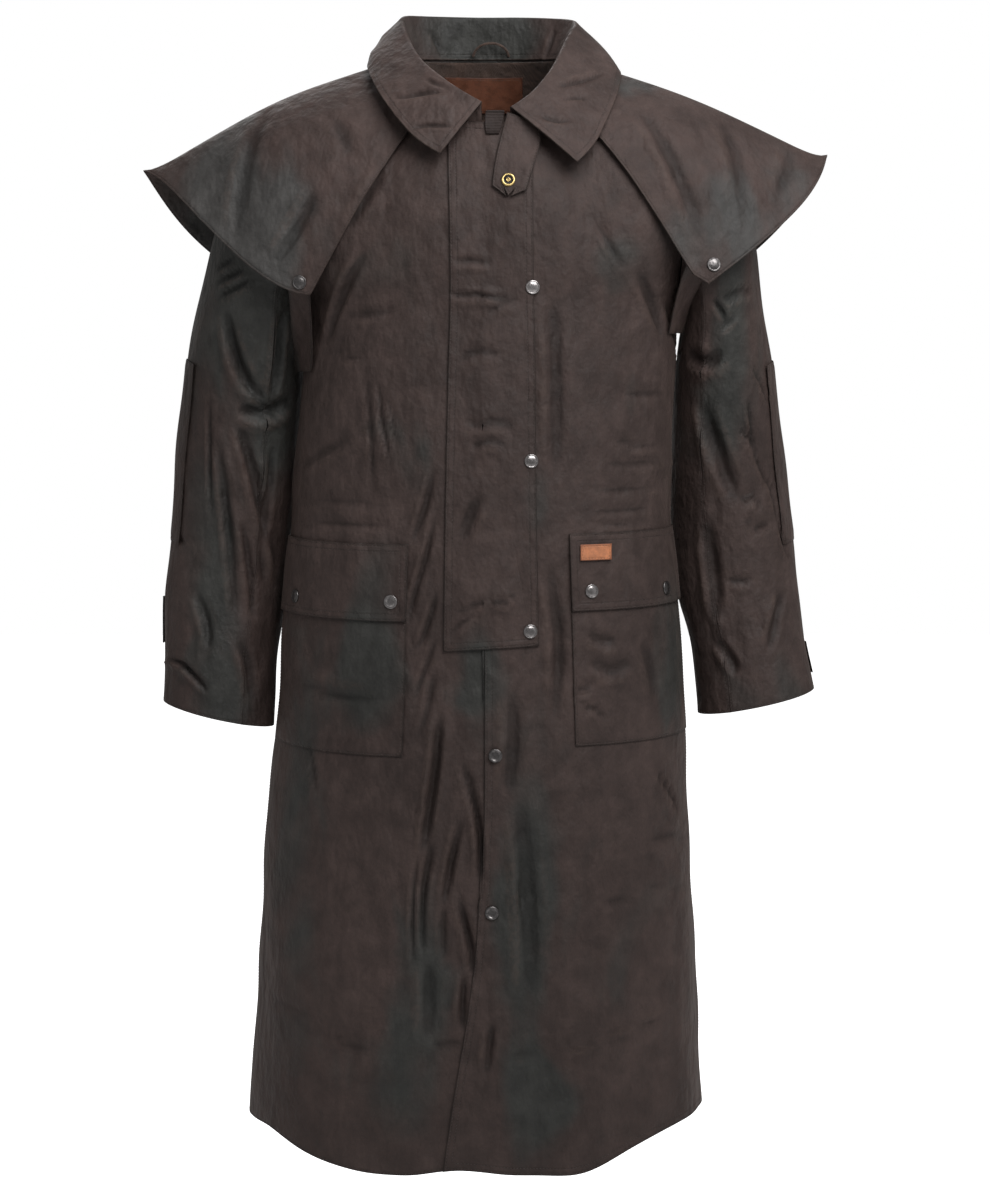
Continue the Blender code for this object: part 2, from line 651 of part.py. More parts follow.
def surface_tree(*nets):
    """Search tree over the outer sides of nets, with its faces turned out."""
    vertices = []
    faces = []
    for net in nets:
        start = len(vertices)
        rows, columns = net.points.shape[:2]
        vertices += [Vector(point) for point in net.points.reshape(-1, 3)]
        outwards = np.sum(surface_normals(net.points) * net.normals) > 0
        for row in range(rows - 1):
            for place in range(columns - 1):
                corner = start + row * columns + place
                face = (corner, corner + 1, corner + columns + 1, corner + columns)
                faces.append(face if outwards else face[::-1])
    return BVHTree.FromPolygons(vertices, faces)


def pushed_clear(points, tree, clearance):
    """Points moved out of a tree's faces until each is at least its clearance away."""
    result = points.copy()
    for index in np.ndindex(points.shape[:2]):
        place = Vector(result[index])
        near, normal, _, distance = tree.find_nearest(place)
        away = (place - near).dot(normal)
        if away < clearance[index] and distance < PUSH_REACH:
            result[index] = np.array(place + normal * (clearance[index] - away))
    return result


def bridged_clear(points, tree, clearance):
    """Net points moved out until the middles of the net's edges and squares clear a tree too."""
    result = pushed_clear(points, tree, clearance)
    height, width = result.shape[0] - 1, result.shape[1] - 1
    for first, second in (((0, 0), (0, 1)), ((0, 0), (1, 0)), ((0, 0), (1, 1)), ((0, 1), (1, 0))):
        down = height if first[0] != second[0] else height + 1
        over = width if first[1] != second[1] else width + 1
        one = result[first[0]:first[0] + down, first[1]:first[1] + over]
        other = result[second[0]:second[0] + down, second[1]:second[1] + over]
        middle = (one + other) / 2
        shift = pushed_clear(middle, tree, clearance[:down, :over]) - middle
        one += shift
        other += shift
    return result


def seen_from_front(tree, x, z):
    """First point of a tree met from the front at a place, and the normal there."""
    point, normal, _, _ = tree.ray_cast(Vector((x, -1.0, z)), Vector((0.0, 1.0, 0.0)))
    return np.array(point), np.array(normal)


# Body panels

def body_net(face, lines):
    levels = range(TOP_LEVEL + 1)
    rows = [[body_point(face, across, level) for across in lines] for level in levels]
    return Net(rows, flip=face > 0)


def across_at(net_lines, net, level, across):
    """Point and normal of a net's level between its standing lines."""
    points = [np.interp(across, net_lines, net.points[level, :, axis]) for axis in range(3)]
    normal = [np.interp(across, net_lines, net.normals[level, :, axis]) for axis in range(3)]
    return np.array(points), unit(np.array(normal))


def lap_lift(name, across):
    lines = column(LAPS, LAP_COLUMNS, "across")
    return float(np.interp(across, lines, column(LAPS, LAP_COLUMNS, name)))


def front_edge_across(z):
    return follow(column(FRONT_EDGE, FRONT_EDGE_COLUMNS, "z"),
                  column(FRONT_EDGE, FRONT_EDGE_COLUMNS, "across"), z)


def lapped_net(front, lines):
    """Left front's net: its free edge curves away at the foot, and it lies over the right one."""
    start = lines.index(0.0)
    points = []
    normals = []
    for level in range(TOP_LEVEL + 1):
        z = LEVELS[level][1] if level < len(LEVELS) else UNDERARM_Z
        edge = front_edge_across(z)
        row = []
        row_normals = []
        for across in (edge, max(EDGE_MIDDLE_SHARE * edge, EDGE_MIDDLE_LINE)):
            place, normal = across_at(lines, front, level, across)
            row.append(place + normal * lap_lift("front_lift", across))
            row_normals.append(normal)
        for index in range(start, len(lines)):
            normal = front.normals[level, index]
            row.append(front.points[level, index] + normal * lap_lift("front_lift", lines[index]))
            row_normals.append(normal)
        points.append(row)
        normals.append(row_normals)
    return Net(points, np.array(normals))


def body_panels(front_lines, front, back):
    """Nets of the two fronts, the back and the storm flap."""
    underlap = front_lines.index(UNDERLAP_LINE)
    storm_columns = (front_lines.index(STORM_SEAM_LINE), front_lines.index(STORM_FREE_LINE))
    storm = front.part((level_named("storm_bottom"), TOP_LEVEL), storm_columns)
    lifts = [lap_lift("storm_lift", across) for across in front_lines[storm_columns[0]:storm_columns[1] + 1]]
    return {
        "front_right": front.part((0, TOP_LEVEL), (0, underlap)).drawn_back(("first_column", "last_row")),
        "front_left": lapped_net(front, front_lines).drawn_back(("last_column", "last_row")),
        "back": back.drawn_back(("first_column", "last_column", "last_row")),
        "storm_flap": storm.moved([lifts] * storm.points.shape[0]).drawn_back(("last_row",)),
    }


# Pockets

def pocket_panels(side, side_name, front, lines):
    columns = sorted((lines.index(POCKET_INNER_LINE[side]), lines.index(POCKET_OUTER_LINE[side])))
    panels = {}
    for name, bottom, top, lifts in (("pocket", "pocket_bottom", "pocket_top", POCKET_LIFTS),
                                     ("pocket_flap", "flap_bottom", "flap_top", FLAP_LIFTS)):
        rows = (level_named(bottom), level_named(top))
        net = front.part(rows, columns)
        width = net.points.shape[1]
        heights = [[lifts[LEVELS[row][0]]] * width for row in range(rows[0], rows[1] + 1)]
        panels[f"{name}_{side_name}"] = net.moved(heights)
    return panels


# Sleeves

def sleeve_point(side, station, line):
    """Point of a sleeve: line 0 runs down its outer side, positive lines down its front."""
    table = SLEEVES[side]
    keys = np.arange(len(table), dtype=float)
    value = {name: follow(keys, column(table, SLEEVE_COLUMNS, name), station) for name in SLEEVE_COLUMNS}
    outer = np.array((side * value["outer_x"], value["middle_y"], value["outer_z"]))
    inner = np.array((side * value["inner_x"], value["middle_y"], value["inner_z"]))
    middle = (outer + inner) / 2
    angle = math.pi * line / UPPER_LEVELS
    depth = value["half_depth"]
    out = (outer - inner) / 2 * math.cos(angle) - TOWARDS_BACK * depth * math.sin(angle)
    lift = 0.0
    for fold_side, centre, half_length, fold_line, half_turn, fold_depth in SLEEVE_FOLDS:
        along = abs(station - centre) / half_length
        round_it = abs(line - fold_line) / half_turn
        if fold_side == side and along < 1.0 and round_it < 1.0:
            lift += fold_depth * (math.cos(along * math.pi / 2) * math.cos(round_it * math.pi / 2)) ** 2
    return middle + out + unit(out) * lift


def sleeve_net(side):
    """Whole sleeve as rows from armhole to cuff, from the back seam round the outer side to it again."""
    lines = range(BACK_SLEEVE_SEAM, BACK_SLEEVE_SEAM + 2 * UPPER_LEVELS + 1)
    rows = []
    for station in SLEEVE_STATIONS[side]:
        row = []
        for line in lines:
            if station == 0.0:
                turned = abs(line) if abs(line) <= UPPER_LEVELS else 2 * UPPER_LEVELS - abs(line)
                face = -1 if 0 <= line <= UPPER_LEVELS else 1
                row.append(armhole_point(side, face, math.pi * turned / UPPER_LEVELS))
            else:
                row.append(sleeve_point(side, station, line))
        rows.append(row)
    net = Net(rows, flip=side < 0)
    seam = unit(net.normals[:, 0] + net.normals[:, -1])
    net.normals[:, 0] = seam
    net.normals[:, -1] = seam
    return net


def sleeve_panels(side, side_name, net):
    """Nets of the upper and under sleeve, elbow patch and cuff tab."""
    stations = SLEEVE_STATIONS[side]
    seam = FRONT_SLEEVE_SEAM - BACK_SLEEVE_SEAM
    panels = {}
    for name, columns in (("sleeve_upper", (0, seam)), ("sleeve_under", (seam, 2 * UPPER_LEVELS))):
        panel = net.part((0, len(stations) - 1), columns).drawn_back(("first_column", "last_column"))
        panels[f"{name}_{side_name}"] = panel.drawn_back(("first_row",), ARMHOLE_SETBACK)
    for name, spans, lines, lift in (("elbow_patch", PATCH_STATIONS, PATCH_LINES, PATCH_LIFT),
                                     ("cuff_tab", TAB_STATIONS[side], TAB_LINES, LAYER)):
        piece = net.part([stations.index(value) for value in spans],
                         [line - BACK_SLEEVE_SEAM for line in lines])
        panels[f"{name}_{side_name}"] = piece.moved(np.full(piece.points.shape[:2], lift))
    return panels


# Cape

def neck_frame(turn):
    """Neck seam point at a turn, and the way level outwards from the neck there."""
    place = neckline_point(turn)
    outwards = unit(np.array((place[0], place[1] - NECK_MIDDLE_Y, 0.0)))
    return place, outwards


def cape_net(tree):
    """Cape in one piece round the back, laid over the shoulders clear of what is under it."""
    turns = column(CAPE, CAPE_COLUMNS, "turn")
    hems = np.stack([column(CAPE, CAPE_COLUMNS, name) for name in ("hem_x", "hem_y", "hem_z")], axis=1)
    rises = column(CAPE, CAPE_COLUMNS, "rise")
    rows = []
    shares = [(row / CAPE_ROWS) ** CAPE_ROW_POWER for row in range(CAPE_ROWS + 1)]
    for share in shares:
        row = []
        for turn, hem, rise in zip(turns, hems, rises):
            place, outwards = neck_frame(turn)
            start = place + outwards * CAPE_NECK_SETBACK + UP * 2 * LAYER
            arch = 4 * share * (1 - share)
            row.append(start * (1 - share) + hem * share + (UP + outwards) * rise * arch)
        rows.append(row)
    base = np.array(rows)
    near = np.array([CAPE_TOP_LIFT + (CAPE_CLEARANCE - LAYER) * ease(share / CAPE_LIFT_SHARE) for share in shares])
    clearance = np.repeat(near[:, None], len(turns), axis=1)
    points = bridged_clear(base, tree, clearance)
    for _ in range(CAPE_RELAX_ROUNDS):
        shift = points - base
        relaxed = shift.copy()
        relaxed[1:-1, 1:-1] = (shift[:-2, 1:-1] + shift[2:, 1:-1] + shift[1:-1, :-2] + shift[1:-1, 2:]) / 4
        relaxed[1:-1, 0] = (shift[:-2, 0] + shift[2:, 0]) / 2
        relaxed[1:-1, -1] = (shift[:-2, -1] + shift[2:, -1]) / 2
        points = bridged_clear(base + (shift + relaxed) / 2, tree, clearance)
    return Net(points)


# Collar

def collar_stations(front_lines, back_lines):
    """Turns round the neck at the net's standing lines, from the right collar end to the left."""
    front_turns = [line_turn(-1, across) for across in front_lines if abs(across) <= NECK_SHARE]
    back_turns = [line_turn(1, across) for across in back_lines if abs(across) < NECK_SHARE]
    right = [line_turn(-1, RIGHT_COLLAR_END)] + sorted((turn for turn in front_turns if turn < -1), reverse=True)
    right += sorted((turn for turn in back_turns if turn < 0 and turn > -180), reverse=True)
    left = sorted((turn for turn in back_turns if 0 < turn < 180), reverse=True)
    underlap_turn = line_turn(-1, UNDERLAP_LINE)
    left += sorted((turn for turn in front_turns if turn >= underlap_turn - UNDERLAP_SLACK), reverse=True)
    return right, left


def collar_value(turn, table, name):
    return follow(column(table, COLLAR_COLUMNS, "turn"), column(table, COLLAR_COLUMNS, name), turn)


def collar_fold(turn, table):
    place, outwards = neck_frame(turn)
    lean = collar_value(turn, table, "lean")
    return place + UP * collar_value(turn, table, "height") + outwards * lean


def collar_column(turn, table):
    """Hidden side of the collar from the neck seam up the stand, over the fold and down the leaf."""
    place, outwards = neck_frame(turn)
    fold = collar_fold(turn, table)
    along = unit(collar_fold(turn + 1.0, table) - collar_fold(turn - 1.0, table))
    out = unit(outwards - along * outwards.dot(along))
    rise = np.cross(out, along)
    rise = rise if rise[2] > 0 else -rise
    centre = fold - rise * (FOLD_RADIUS + WALL)
    path = []
    stand_top = centre - out * FOLD_RADIUS
    for share in STAND_SHARES:
        path.append(place * (1 - share) + stand_top * share)
    for angle in FOLD_ANGLES:
        swing = math.radians(angle)
        path.append(centre + out * FOLD_RADIUS * math.cos(swing) + rise * FOLD_RADIUS * math.sin(swing))
    leaf_start = path[-1]
    edge = np.array([collar_value(turn, table, name) for name in ("leaf_x", "leaf_y", "leaf_z")])
    for row in range(1, LEAF_ROWS + 1):
        share = row / LEAF_ROWS
        bulge = collar_value(turn, table, "bulge") * math.sin(math.pi * share)
        path.append(leaf_start * (1 - share) + edge * share + out * bulge)
    return path


def collar_net(front_lines, back_lines):
    right, left = collar_stations(front_lines, back_lines)
    columns = [collar_column(turn, COLLAR_RIGHT) for turn in right]
    columns.append(collar_column(-180.0, COLLAR_RIGHT))
    columns += [collar_column(turn, COLLAR_LEFT) for turn in left]
    return Net(np.array(columns).transpose(1, 0, 2), flip=True)


def lay_leaf(collar, tree):
    """Move the collar's leaf out until it clears the cape and the fronts."""
    first = collar.points.shape[0] - LEAF_ROWS - 1
    leaf = collar.points[first:]
    clearance = np.full(leaf.shape[:2], LEAF_CLEARANCE)
    clearance[0] = LAYER_GAP
    collar.points[first:] = pushed_clear(leaf, tree, clearance)
    normals = surface_normals(collar.points)
    sense = np.sign(np.sum(normals * collar.normals, axis=-1, keepdims=True))
    collar.normals[1:] = (normals * sense)[1:]
    return collar


# Small pieces at the neck

def facing_net(back, lines):
    """Facing inside the back neck, which shows in the neck opening."""
    columns = (lines.index(-NECK_SHARE) + 1, lines.index(NECK_SHARE) - 1)
    net = back.part((TOP_LEVEL - FACING_LEVELS, TOP_LEVEL), columns)
    heights = np.full(net.points.shape[:2], -(WALL + LAYER_GAP))
    return net.moved(heights).drawn_back(("last_row",), FACING_SETBACK)


def label_net(tree, span, heights, steps):
    """Flat leather label laid on the face that is met from the front."""
    rows = []
    normals = []
    for z in np.linspace(heights[0], heights[1], LABEL_ROWS):
        met = [seen_from_front(tree, x, z) for x in np.linspace(span[0], span[1], steps)]
        rows.append([point + normal * (LABEL_GAP + LABEL_WALL) for point, normal in met])
        normals.append([normal for _, normal in met])
    return Net(rows, np.array(normals))


def add_hanger_loop():
    """Flat loop that leans off the back of the collar stand."""
    middle_x = (LOOP_ENDS[0] + LOOP_ENDS[1]) / 2
    half_span = (LOOP_ENDS[1] - LOOP_ENDS[0]) / 2
    half_wide = LOOP_SECTION[0] / 2
    half_thick = LOOP_SECTION[1] / 2
    mesh_data = bmesh.new()
    rings = []
    for step in range(LOOP_STEPS + 1):
        angle = math.pi * step / LOOP_STEPS
        lift = math.sin(angle)
        centre = np.array((middle_x - half_span * math.cos(angle),
                           LOOP_FOOT[0] + (LOOP_TOP[0] - LOOP_FOOT[0]) * lift,
                           LOOP_FOOT[1] + (LOOP_TOP[1] - LOOP_FOOT[1]) * lift))
        across = np.array((-math.cos(angle), 0.0, math.sin(angle)))
        ring = []
        for wide, thick in ((-1, -1), (1, -1), (1, 1), (-1, 1)):
            ring.append(mesh_data.verts.new(centre + across * wide * half_wide + TOWARDS_BACK * thick * half_thick))
        rings.append(ring)
    for ring, following in zip(rings, rings[1:]):
        for index in range(4):
            other = (index + 1) % 4
            mesh_data.faces.new((ring[index], ring[other], following[other], following[index]))
    mesh_data.faces.new(rings[0])
    mesh_data.faces.new(rings[-1])
    return add_object("hanger_loop", mesh_data, "lining")


def facing_front(rows):
    """Net whose normals point to the front of the coat."""
    net = Net(rows)
    return net if net.normals[1, 1, 1] < 0 else Net(rows, flip=True)


def latch_net(surface):
    """Throat latch that hangs from under the left collar over the storm flap."""
    rows = []
    for right_x, right_z, left_x, left_z in LATCH:
        row = []
        for share in np.linspace(0.0, 1.0, LATCH_SPLITS + 1):
            x = right_x * (1 - share) + left_x * share
            z = right_z * (1 - share) + left_z * share
            point, normal = seen_from_front(surface, x, min(z, NECK_FRONT_Z - NECK_EDGE_SETBACK))
            row.append((x, point[1] + LATCH_LIFT / normal[1], z))
        rows.append(row)
    return facing_front(rows)


def stand_end_net(surface):
    """Stitched end of the collar band, between the two collar ends."""
    rows = []
    for z, right_x, left_x in STAND_END:
        row = []
        for share in np.linspace(0.0, 1.0, STAND_END_SPLITS + 1):
            x = right_x * (1 - share) + left_x * share
            point, _ = seen_from_front(surface, x, NECK_FRONT_Z - NECK_EDGE_SETBACK)
            lean = STAND_END_LEAN * (z - NECK_FRONT_Z)
            row.append((x, point[1] + lean - 2 * LAYER - LAYER_GAP - STAND_END_WALL, z))
        rows.append(row)
    return facing_front(rows)


# Straps and snaps

def strap_net(side, cape_tree, body_tree):
    """Strap from behind the cape's corner down to the front near the armhole."""
    top_x, top_z, bottom_x, bottom_z = STRAPS[side]
    rows = []
    for step in range(STRAP_ROWS + 1):
        share = step / STRAP_ROWS
        x = top_x * (1 - share) + bottom_x * share
        z = top_z * (1 - share) + bottom_z * share
        row = []
        for offset in (-STRAP_HALF_WIDTH, 0.0, STRAP_HALF_WIDTH):
            cape_y = seen_from_front(cape_tree, top_x + offset, top_z)[0][1] + 2 * WALL + LAYER_GAP
            body_y = seen_from_front(body_tree, bottom_x + offset, bottom_z)[0][1] - LAYER - LAYER_GAP
            bend = share ** STRAP_BEND
            row.append(np.array((x + offset, cape_y * (1 - bend) + body_y * bend, z)))
        rows.append(row)
    net = facing_front(rows)
    points = bridged_clear(net.points, body_tree, np.full(net.points.shape[:2], STRAP_CLEARANCE))
    return facing_front(points)


def turned(name, profile, place, axis, finish, sides=SNAP_SIDES):
    """Solid turned from a profile of (radius, height) rows round an axis at a place."""
    mesh_data = bmesh.new()
    rings = []
    for radius, height in profile:
        if radius == 0.0:
            rings.append([mesh_data.verts.new((0.0, 0.0, height))])
            continue
        ring = []
        for step in range(sides):
            angle = 2 * math.pi * step / sides
            ring.append(mesh_data.verts.new((radius * math.cos(angle), radius * math.sin(angle), height)))
        rings.append(ring)
    for ring, following in zip(rings, rings[1:]):
        for index in range(sides):
            other = (index + 1) % sides
            corners = [ring[index % len(ring)], ring[other % len(ring)],
                       following[other % len(following)], following[index % len(following)]]
            unique = list(dict.fromkeys(corners))
            if len(unique) > 2:
                mesh_data.faces.new(unique)
    turn = Vector((0.0, 0.0, 1.0)).rotation_difference(Vector(axis)).to_matrix().to_4x4()
    bmesh.ops.transform(mesh_data, matrix=turn, verts=mesh_data.verts)
    bmesh.ops.translate(mesh_data, vec=Vector(place), verts=mesh_data.verts)
    return add_object(name, mesh_data, finish)


def snap_profile(radius, height):
    """Low dome with a rolled rim."""
    return ((0.0, 0.0), (radius * 0.97, 0.0), (radius, height * 0.35), (radius * 0.86, height * 0.75),
            (radius * 0.5, height), (0.0, height))


def throat_profile(radius, height):
    """Ring with a sunk socket and a small stud in its middle."""
    return ((0.0, 0.0), (radius, 0.0), (radius, height * 0.6), (radius * 0.85, height), (radius * 0.62, height),
            (radius * 0.52, height * 0.3), (radius * 0.24, height * 0.3), (radius * 0.2, height * 0.75),
            (0.0, height * 0.75))


def seated(tree, point, normal, radius):
    """Place and axis of a round piece that rests on a surface without cutting into it."""
    point = Vector(point)
    normal = Vector(normal)
    sideways = normal.orthogonal().normalized()
    met = []
    for step in range(SNAP_SIDES):
        offset = Quaternion(normal, 2 * math.pi * step / SNAP_SIDES) @ sideways * radius
        for share in SEAT_SHARES:
            place, face_normal, _, _ = tree.ray_cast(point + offset * share + normal * radius, -normal)
            if place is not None:
                met.append((place, face_normal))
    axis = (sum((face_normal for _, face_normal in met), normal)).normalized()
    rise = max([0.0] + [(place - point).dot(axis) for place, _ in met])
    return point + axis * (rise + SNAP_GAP), axis


def add_snaps(cloth):
    places = []
    for name, piece, x, z in SNAPS:
        tree = surface_tree(cloth[piece])
        places.append((name, seated(tree, *seen_from_front(tree, x, z), SNAP_RADIUS)))
    for name, piece, x, y, z in CUFF_SNAPS:
        tree = surface_tree(cloth[piece])
        places.append((name, seated(tree, *tree.find_nearest(Vector((x, y, z)))[:2], SNAP_RADIUS)))
    for name, (place, axis) in places:
        turned(name, snap_profile(SNAP_RADIUS, SNAP_HEIGHT), place, axis, "snap_metal")
    tree = surface_tree(cloth["throat_latch"])
    place, axis = seated(tree, *seen_from_front(tree, *THROAT_SNAP_PLACE), THROAT_SNAP_RADIUS)
    turned("throat_snap", throat_profile(THROAT_SNAP_RADIUS, THROAT_SNAP_HEIGHT), place, axis, "brass")


def inner_side(net, wall):
    """Net of the inner side of a wall, which faces into the coat."""
    return Net(net.points - net.normals * wall, -net.normals)


def cloth_nets():
    """Nets of all the cloth and leather pieces, by name."""
    front_lines = [-across for across in RIGHT_FRONT_LINES] + [0.0] + list(LEFT_FRONT_LINES)
    back_lines = [-across for across in reversed(BACK_LINES)] + [0.0] + list(BACK_LINES)
    front = body_net(-1, front_lines)
    back = body_net(1, back_lines)
    sleeves = {side: sleeve_net(side) for side in (-1, 1)}
    collar = collar_net(front_lines, back_lines)
    sew([front, back])
    sew([front, back, sleeves[-1], sleeves[1], collar])
    cloth = body_panels(front_lines, front, back)
    for side, side_name in SIDES:
        cloth.update(pocket_panels(side, side_name, front, front_lines))
        cloth.update(sleeve_panels(side, side_name, sleeves[side]))
    bare_front = surface_tree(front)
    cloth["throat_latch"] = latch_net(bare_front)
    cloth["collar_stand_end"] = stand_end_net(bare_front)
    upper = [cloth[name] for name in ("front_right", "front_left", "back")] + list(sleeves.values())
    cloth["cape"] = cape_net(surface_tree(*upper))
    under_leaf = surface_tree(cloth["cape"], cloth["throat_latch"], cloth["storm_flap"], *upper)
    cloth["collar"] = lay_leaf(collar, under_leaf).drawn_back(("first_row",))
    cloth["neck_facing"] = facing_net(back, back_lines)
    inside_neck = surface_tree(inner_side(cloth["neck_facing"], THIN_WALL))
    cloth["neck_label"] = label_net(inside_neck, NECK_LABEL_SPAN, NECK_LABEL_HEIGHT, NECK_LABEL_STEPS)
    cloth["pocket_label"] = label_net(surface_tree(cloth["pocket_flap_left"]), POCKET_LABEL_SPAN,
                                      POCKET_LABEL_HEIGHT, POCKET_LABEL_STEPS)
    for side, side_name in SIDES:
        cloth[f"cape_strap_{side_name}"] = strap_net(side, surface_tree(cloth["cape"]), surface_tree(*upper))
    return cloth


def main():
    for old in list(bpy.data.objects):
        bpy.data.objects.remove(old)
    cloth = cloth_nets()
    for name, net in cloth.items():
        add_wall(name, net, CLOTH_FINISHES.get(name, "oilskin"), CLOTH_WALLS.get(name, WALL))
    add_hanger_loop()
    add_snaps(cloth)


main()
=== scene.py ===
"""Duster coat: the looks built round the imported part."""

import math
from functools import partial, reduce

import bmesh
import bpy
import numpy as np
from mathutils import Matrix, Vector
from mathutils.bvhtree import BVHTree
from mathutils.kdtree import KDTree


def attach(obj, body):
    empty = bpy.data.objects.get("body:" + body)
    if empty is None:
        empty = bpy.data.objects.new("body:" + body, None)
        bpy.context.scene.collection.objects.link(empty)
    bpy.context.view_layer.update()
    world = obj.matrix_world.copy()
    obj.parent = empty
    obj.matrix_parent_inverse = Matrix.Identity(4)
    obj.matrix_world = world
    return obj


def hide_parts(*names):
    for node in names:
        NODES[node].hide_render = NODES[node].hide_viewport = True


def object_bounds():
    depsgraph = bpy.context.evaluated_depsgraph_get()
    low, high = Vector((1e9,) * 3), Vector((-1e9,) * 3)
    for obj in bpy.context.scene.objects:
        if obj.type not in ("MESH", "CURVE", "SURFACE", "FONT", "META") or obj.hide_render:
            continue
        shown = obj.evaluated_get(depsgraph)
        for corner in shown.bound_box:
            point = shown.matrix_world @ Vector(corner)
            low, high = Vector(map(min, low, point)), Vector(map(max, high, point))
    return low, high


bl_info = {
    "name": "Duster coat",
    "version": (1, 0, 0),
    "blender": (4, 5, 0),
    "location": "View3D > Sidebar > Duster",
    "description": "Builds a waxed riding duster in cloth, thread and metal round its packed solids",
    "category": "Add Mesh",
}

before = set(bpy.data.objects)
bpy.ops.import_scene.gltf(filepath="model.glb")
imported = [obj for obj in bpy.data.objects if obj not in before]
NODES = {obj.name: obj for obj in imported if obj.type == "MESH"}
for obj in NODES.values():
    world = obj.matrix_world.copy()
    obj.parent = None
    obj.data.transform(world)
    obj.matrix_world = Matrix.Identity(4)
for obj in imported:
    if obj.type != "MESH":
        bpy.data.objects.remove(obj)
CAD_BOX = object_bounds()

# Cloth pieces. Columns: node, subdivision levels, side that shows, wall, finish, slot,
# pieces under it, clearance, flat width, flat length, flat area, how it is held
CLOTH_COLUMNS = ("node", "levels", "shows", "wall", "finish", "slot", "under", "gap",
                 "width", "length", "area", "held")
BODY_CLOTHS = (
    ("back", 3, "round", 0.0016, "oilskin", "oilskin", (), 0, 0.72, 1.30, 0.79, "hung"),
    ("front_right", 3, "round", 0.0016, "oilskin", "oilskin", (), 0, 0.40, 1.30, 0.44, "hung"),
    ("front_left", 3, "round", 0.0016, "oilskin", "oilskin", ("front_right",), 0.0020,
     0.38, 1.30, 0.41, "hung"),
)
SLEEVE_CLOTHS = (
    ("sleeve_upper_right", 3, "sleeve", 0.0016, "oilskin_sleeve", "oilskin", (), 0, 0.34, 0.74, 0.212, "hung"),
    ("sleeve_upper_left", 3, "sleeve", 0.0016, "oilskin_sleeve", "oilskin", (), 0, 0.33, 0.73, 0.198, "hung"),
    ("sleeve_under_right", 3, "sleeve", 0.0016, "oilskin_sleeve", "oilskin", (), 0, 0.17, 0.58, 0.084, "hung"),
    ("sleeve_under_left", 3, "sleeve", 0.0016, "oilskin_sleeve", "oilskin", (), 0, 0.17, 0.57, 0.081, "hung"),
    ("elbow_patch_right", 3, "sleeve", 0.0013, "oilskin_sleeve", "oilskin", ("sleeve_upper_right",), 0.0016,
     0.175, 0.235, 0.0364, "laid"),
    ("elbow_patch_left", 3, "sleeve", 0.0013, "oilskin_sleeve", "oilskin", ("sleeve_upper_left",), 0.0016,
     0.175, 0.235, 0.0354, "laid"),
    ("cuff_tab_right", 4, "sleeve", 0.0016, "oilskin_sleeve", "oilskin", ("sleeve_upper_right",), 0.0019,
     0.115, 0.070, 0.0072, "laid"),
    ("cuff_tab_left", 4, "sleeve", 0.0016, "oilskin_sleeve", "oilskin", ("sleeve_upper_left",), 0.0019,
     0.115, 0.050, 0.0051, "laid"),
)
CLOSURE_CLOTHS = (
    ("storm_flap", 3, "front", 0.0016, "oilskin_trim", "oilskin", ("front_right", "front_left"), 0.0019,
     0.11, 0.62, 0.062, "hung"),
    # The stand end takes a darker copy of the cloth: painted shade of the gap between the collar's tips
    ("collar_stand_end", 3, "front", 0.0018, "oilskin_dark", "oilskin", (), 0, 0.024, 0.027, 0.0006, "laid"),
    ("throat_latch", 3, "front", 0.0020, "oilskin_trim", "oilskin", ("storm_flap",), 0.0024,
     0.052, 0.100, 0.0043, "hung"),
)
POCKET_CLOTHS = (
    ("pocket_right", 3, "round", 0.0016, "oilskin_trim", "oilskin", ("front_right",), 0.0019,
     0.225, 0.215, 0.0468, "laid"),
    ("pocket_left", 3, "round", 0.0016, "oilskin_trim", "oilskin", ("front_left",), 0.0019,
     0.205, 0.215, 0.0429, "laid"),
    ("pocket_flap_right", 4, "round", 0.0016, "oilskin_trim", "oilskin", ("front_right", "pocket_right"), 0.0019,
     0.22, 0.090, 0.0192, "laid"),
    ("pocket_flap_left", 4, "round", 0.0016, "oilskin_trim", "oilskin", ("front_left", "pocket_left"), 0.0019,
     0.20, 0.090, 0.0175, "laid"),
)
CAPE_CLOTHS = (
    ("cape_strap_right", 3, "front", 0.0016, "oilskin", "oilskin", (), 0, 0.034, 0.165, 0.0052, "hung"),
    ("cape_strap_left", 3, "front", 0.0016, "oilskin_cape", "oilskin", (), 0, 0.030, 0.140, 0.0038, "hung"),
    ("cape", 3, "dome", 0.0016, "oilskin_cape", "oilskin_grey",
     ("back", "front_right", "front_left", "sleeve_upper_right", "sleeve_upper_left"), 0.0022,
     1.20, 0.40, 0.35, "draped"),
)
COLLAR_CLOTHS = (
    ("collar", 3, "fold", 0.0016, "oilskin_collar", "oilskin", (), 0, 0.56, 0.17, 0.084, "folded"),
)
NECK_CLOTHS = (
    ("neck_facing", 3, "front", 0.0012, "lining_twill", "lining", (), 0, 0.21, 0.105, 0.0197, "laid"),
    ("hanger_loop", 2, "whole", 0.0036, "lining_twill", "lining", (), 0, 0.011, 0.050, 0.00032, "hung"),
)
LABEL_CLOTHS = (
    ("neck_label", 2, "front", 0.0012, "leather_dark", "leather", (), 0, 0.102, 0.046, 0.0045, "laid"),
    ("pocket_label", 2, "front", 0.0012, "leather_tan", "leather", ("pocket_flap_left",), 0.0014,
     0.041, 0.0195, 0.00077, "laid"),
)

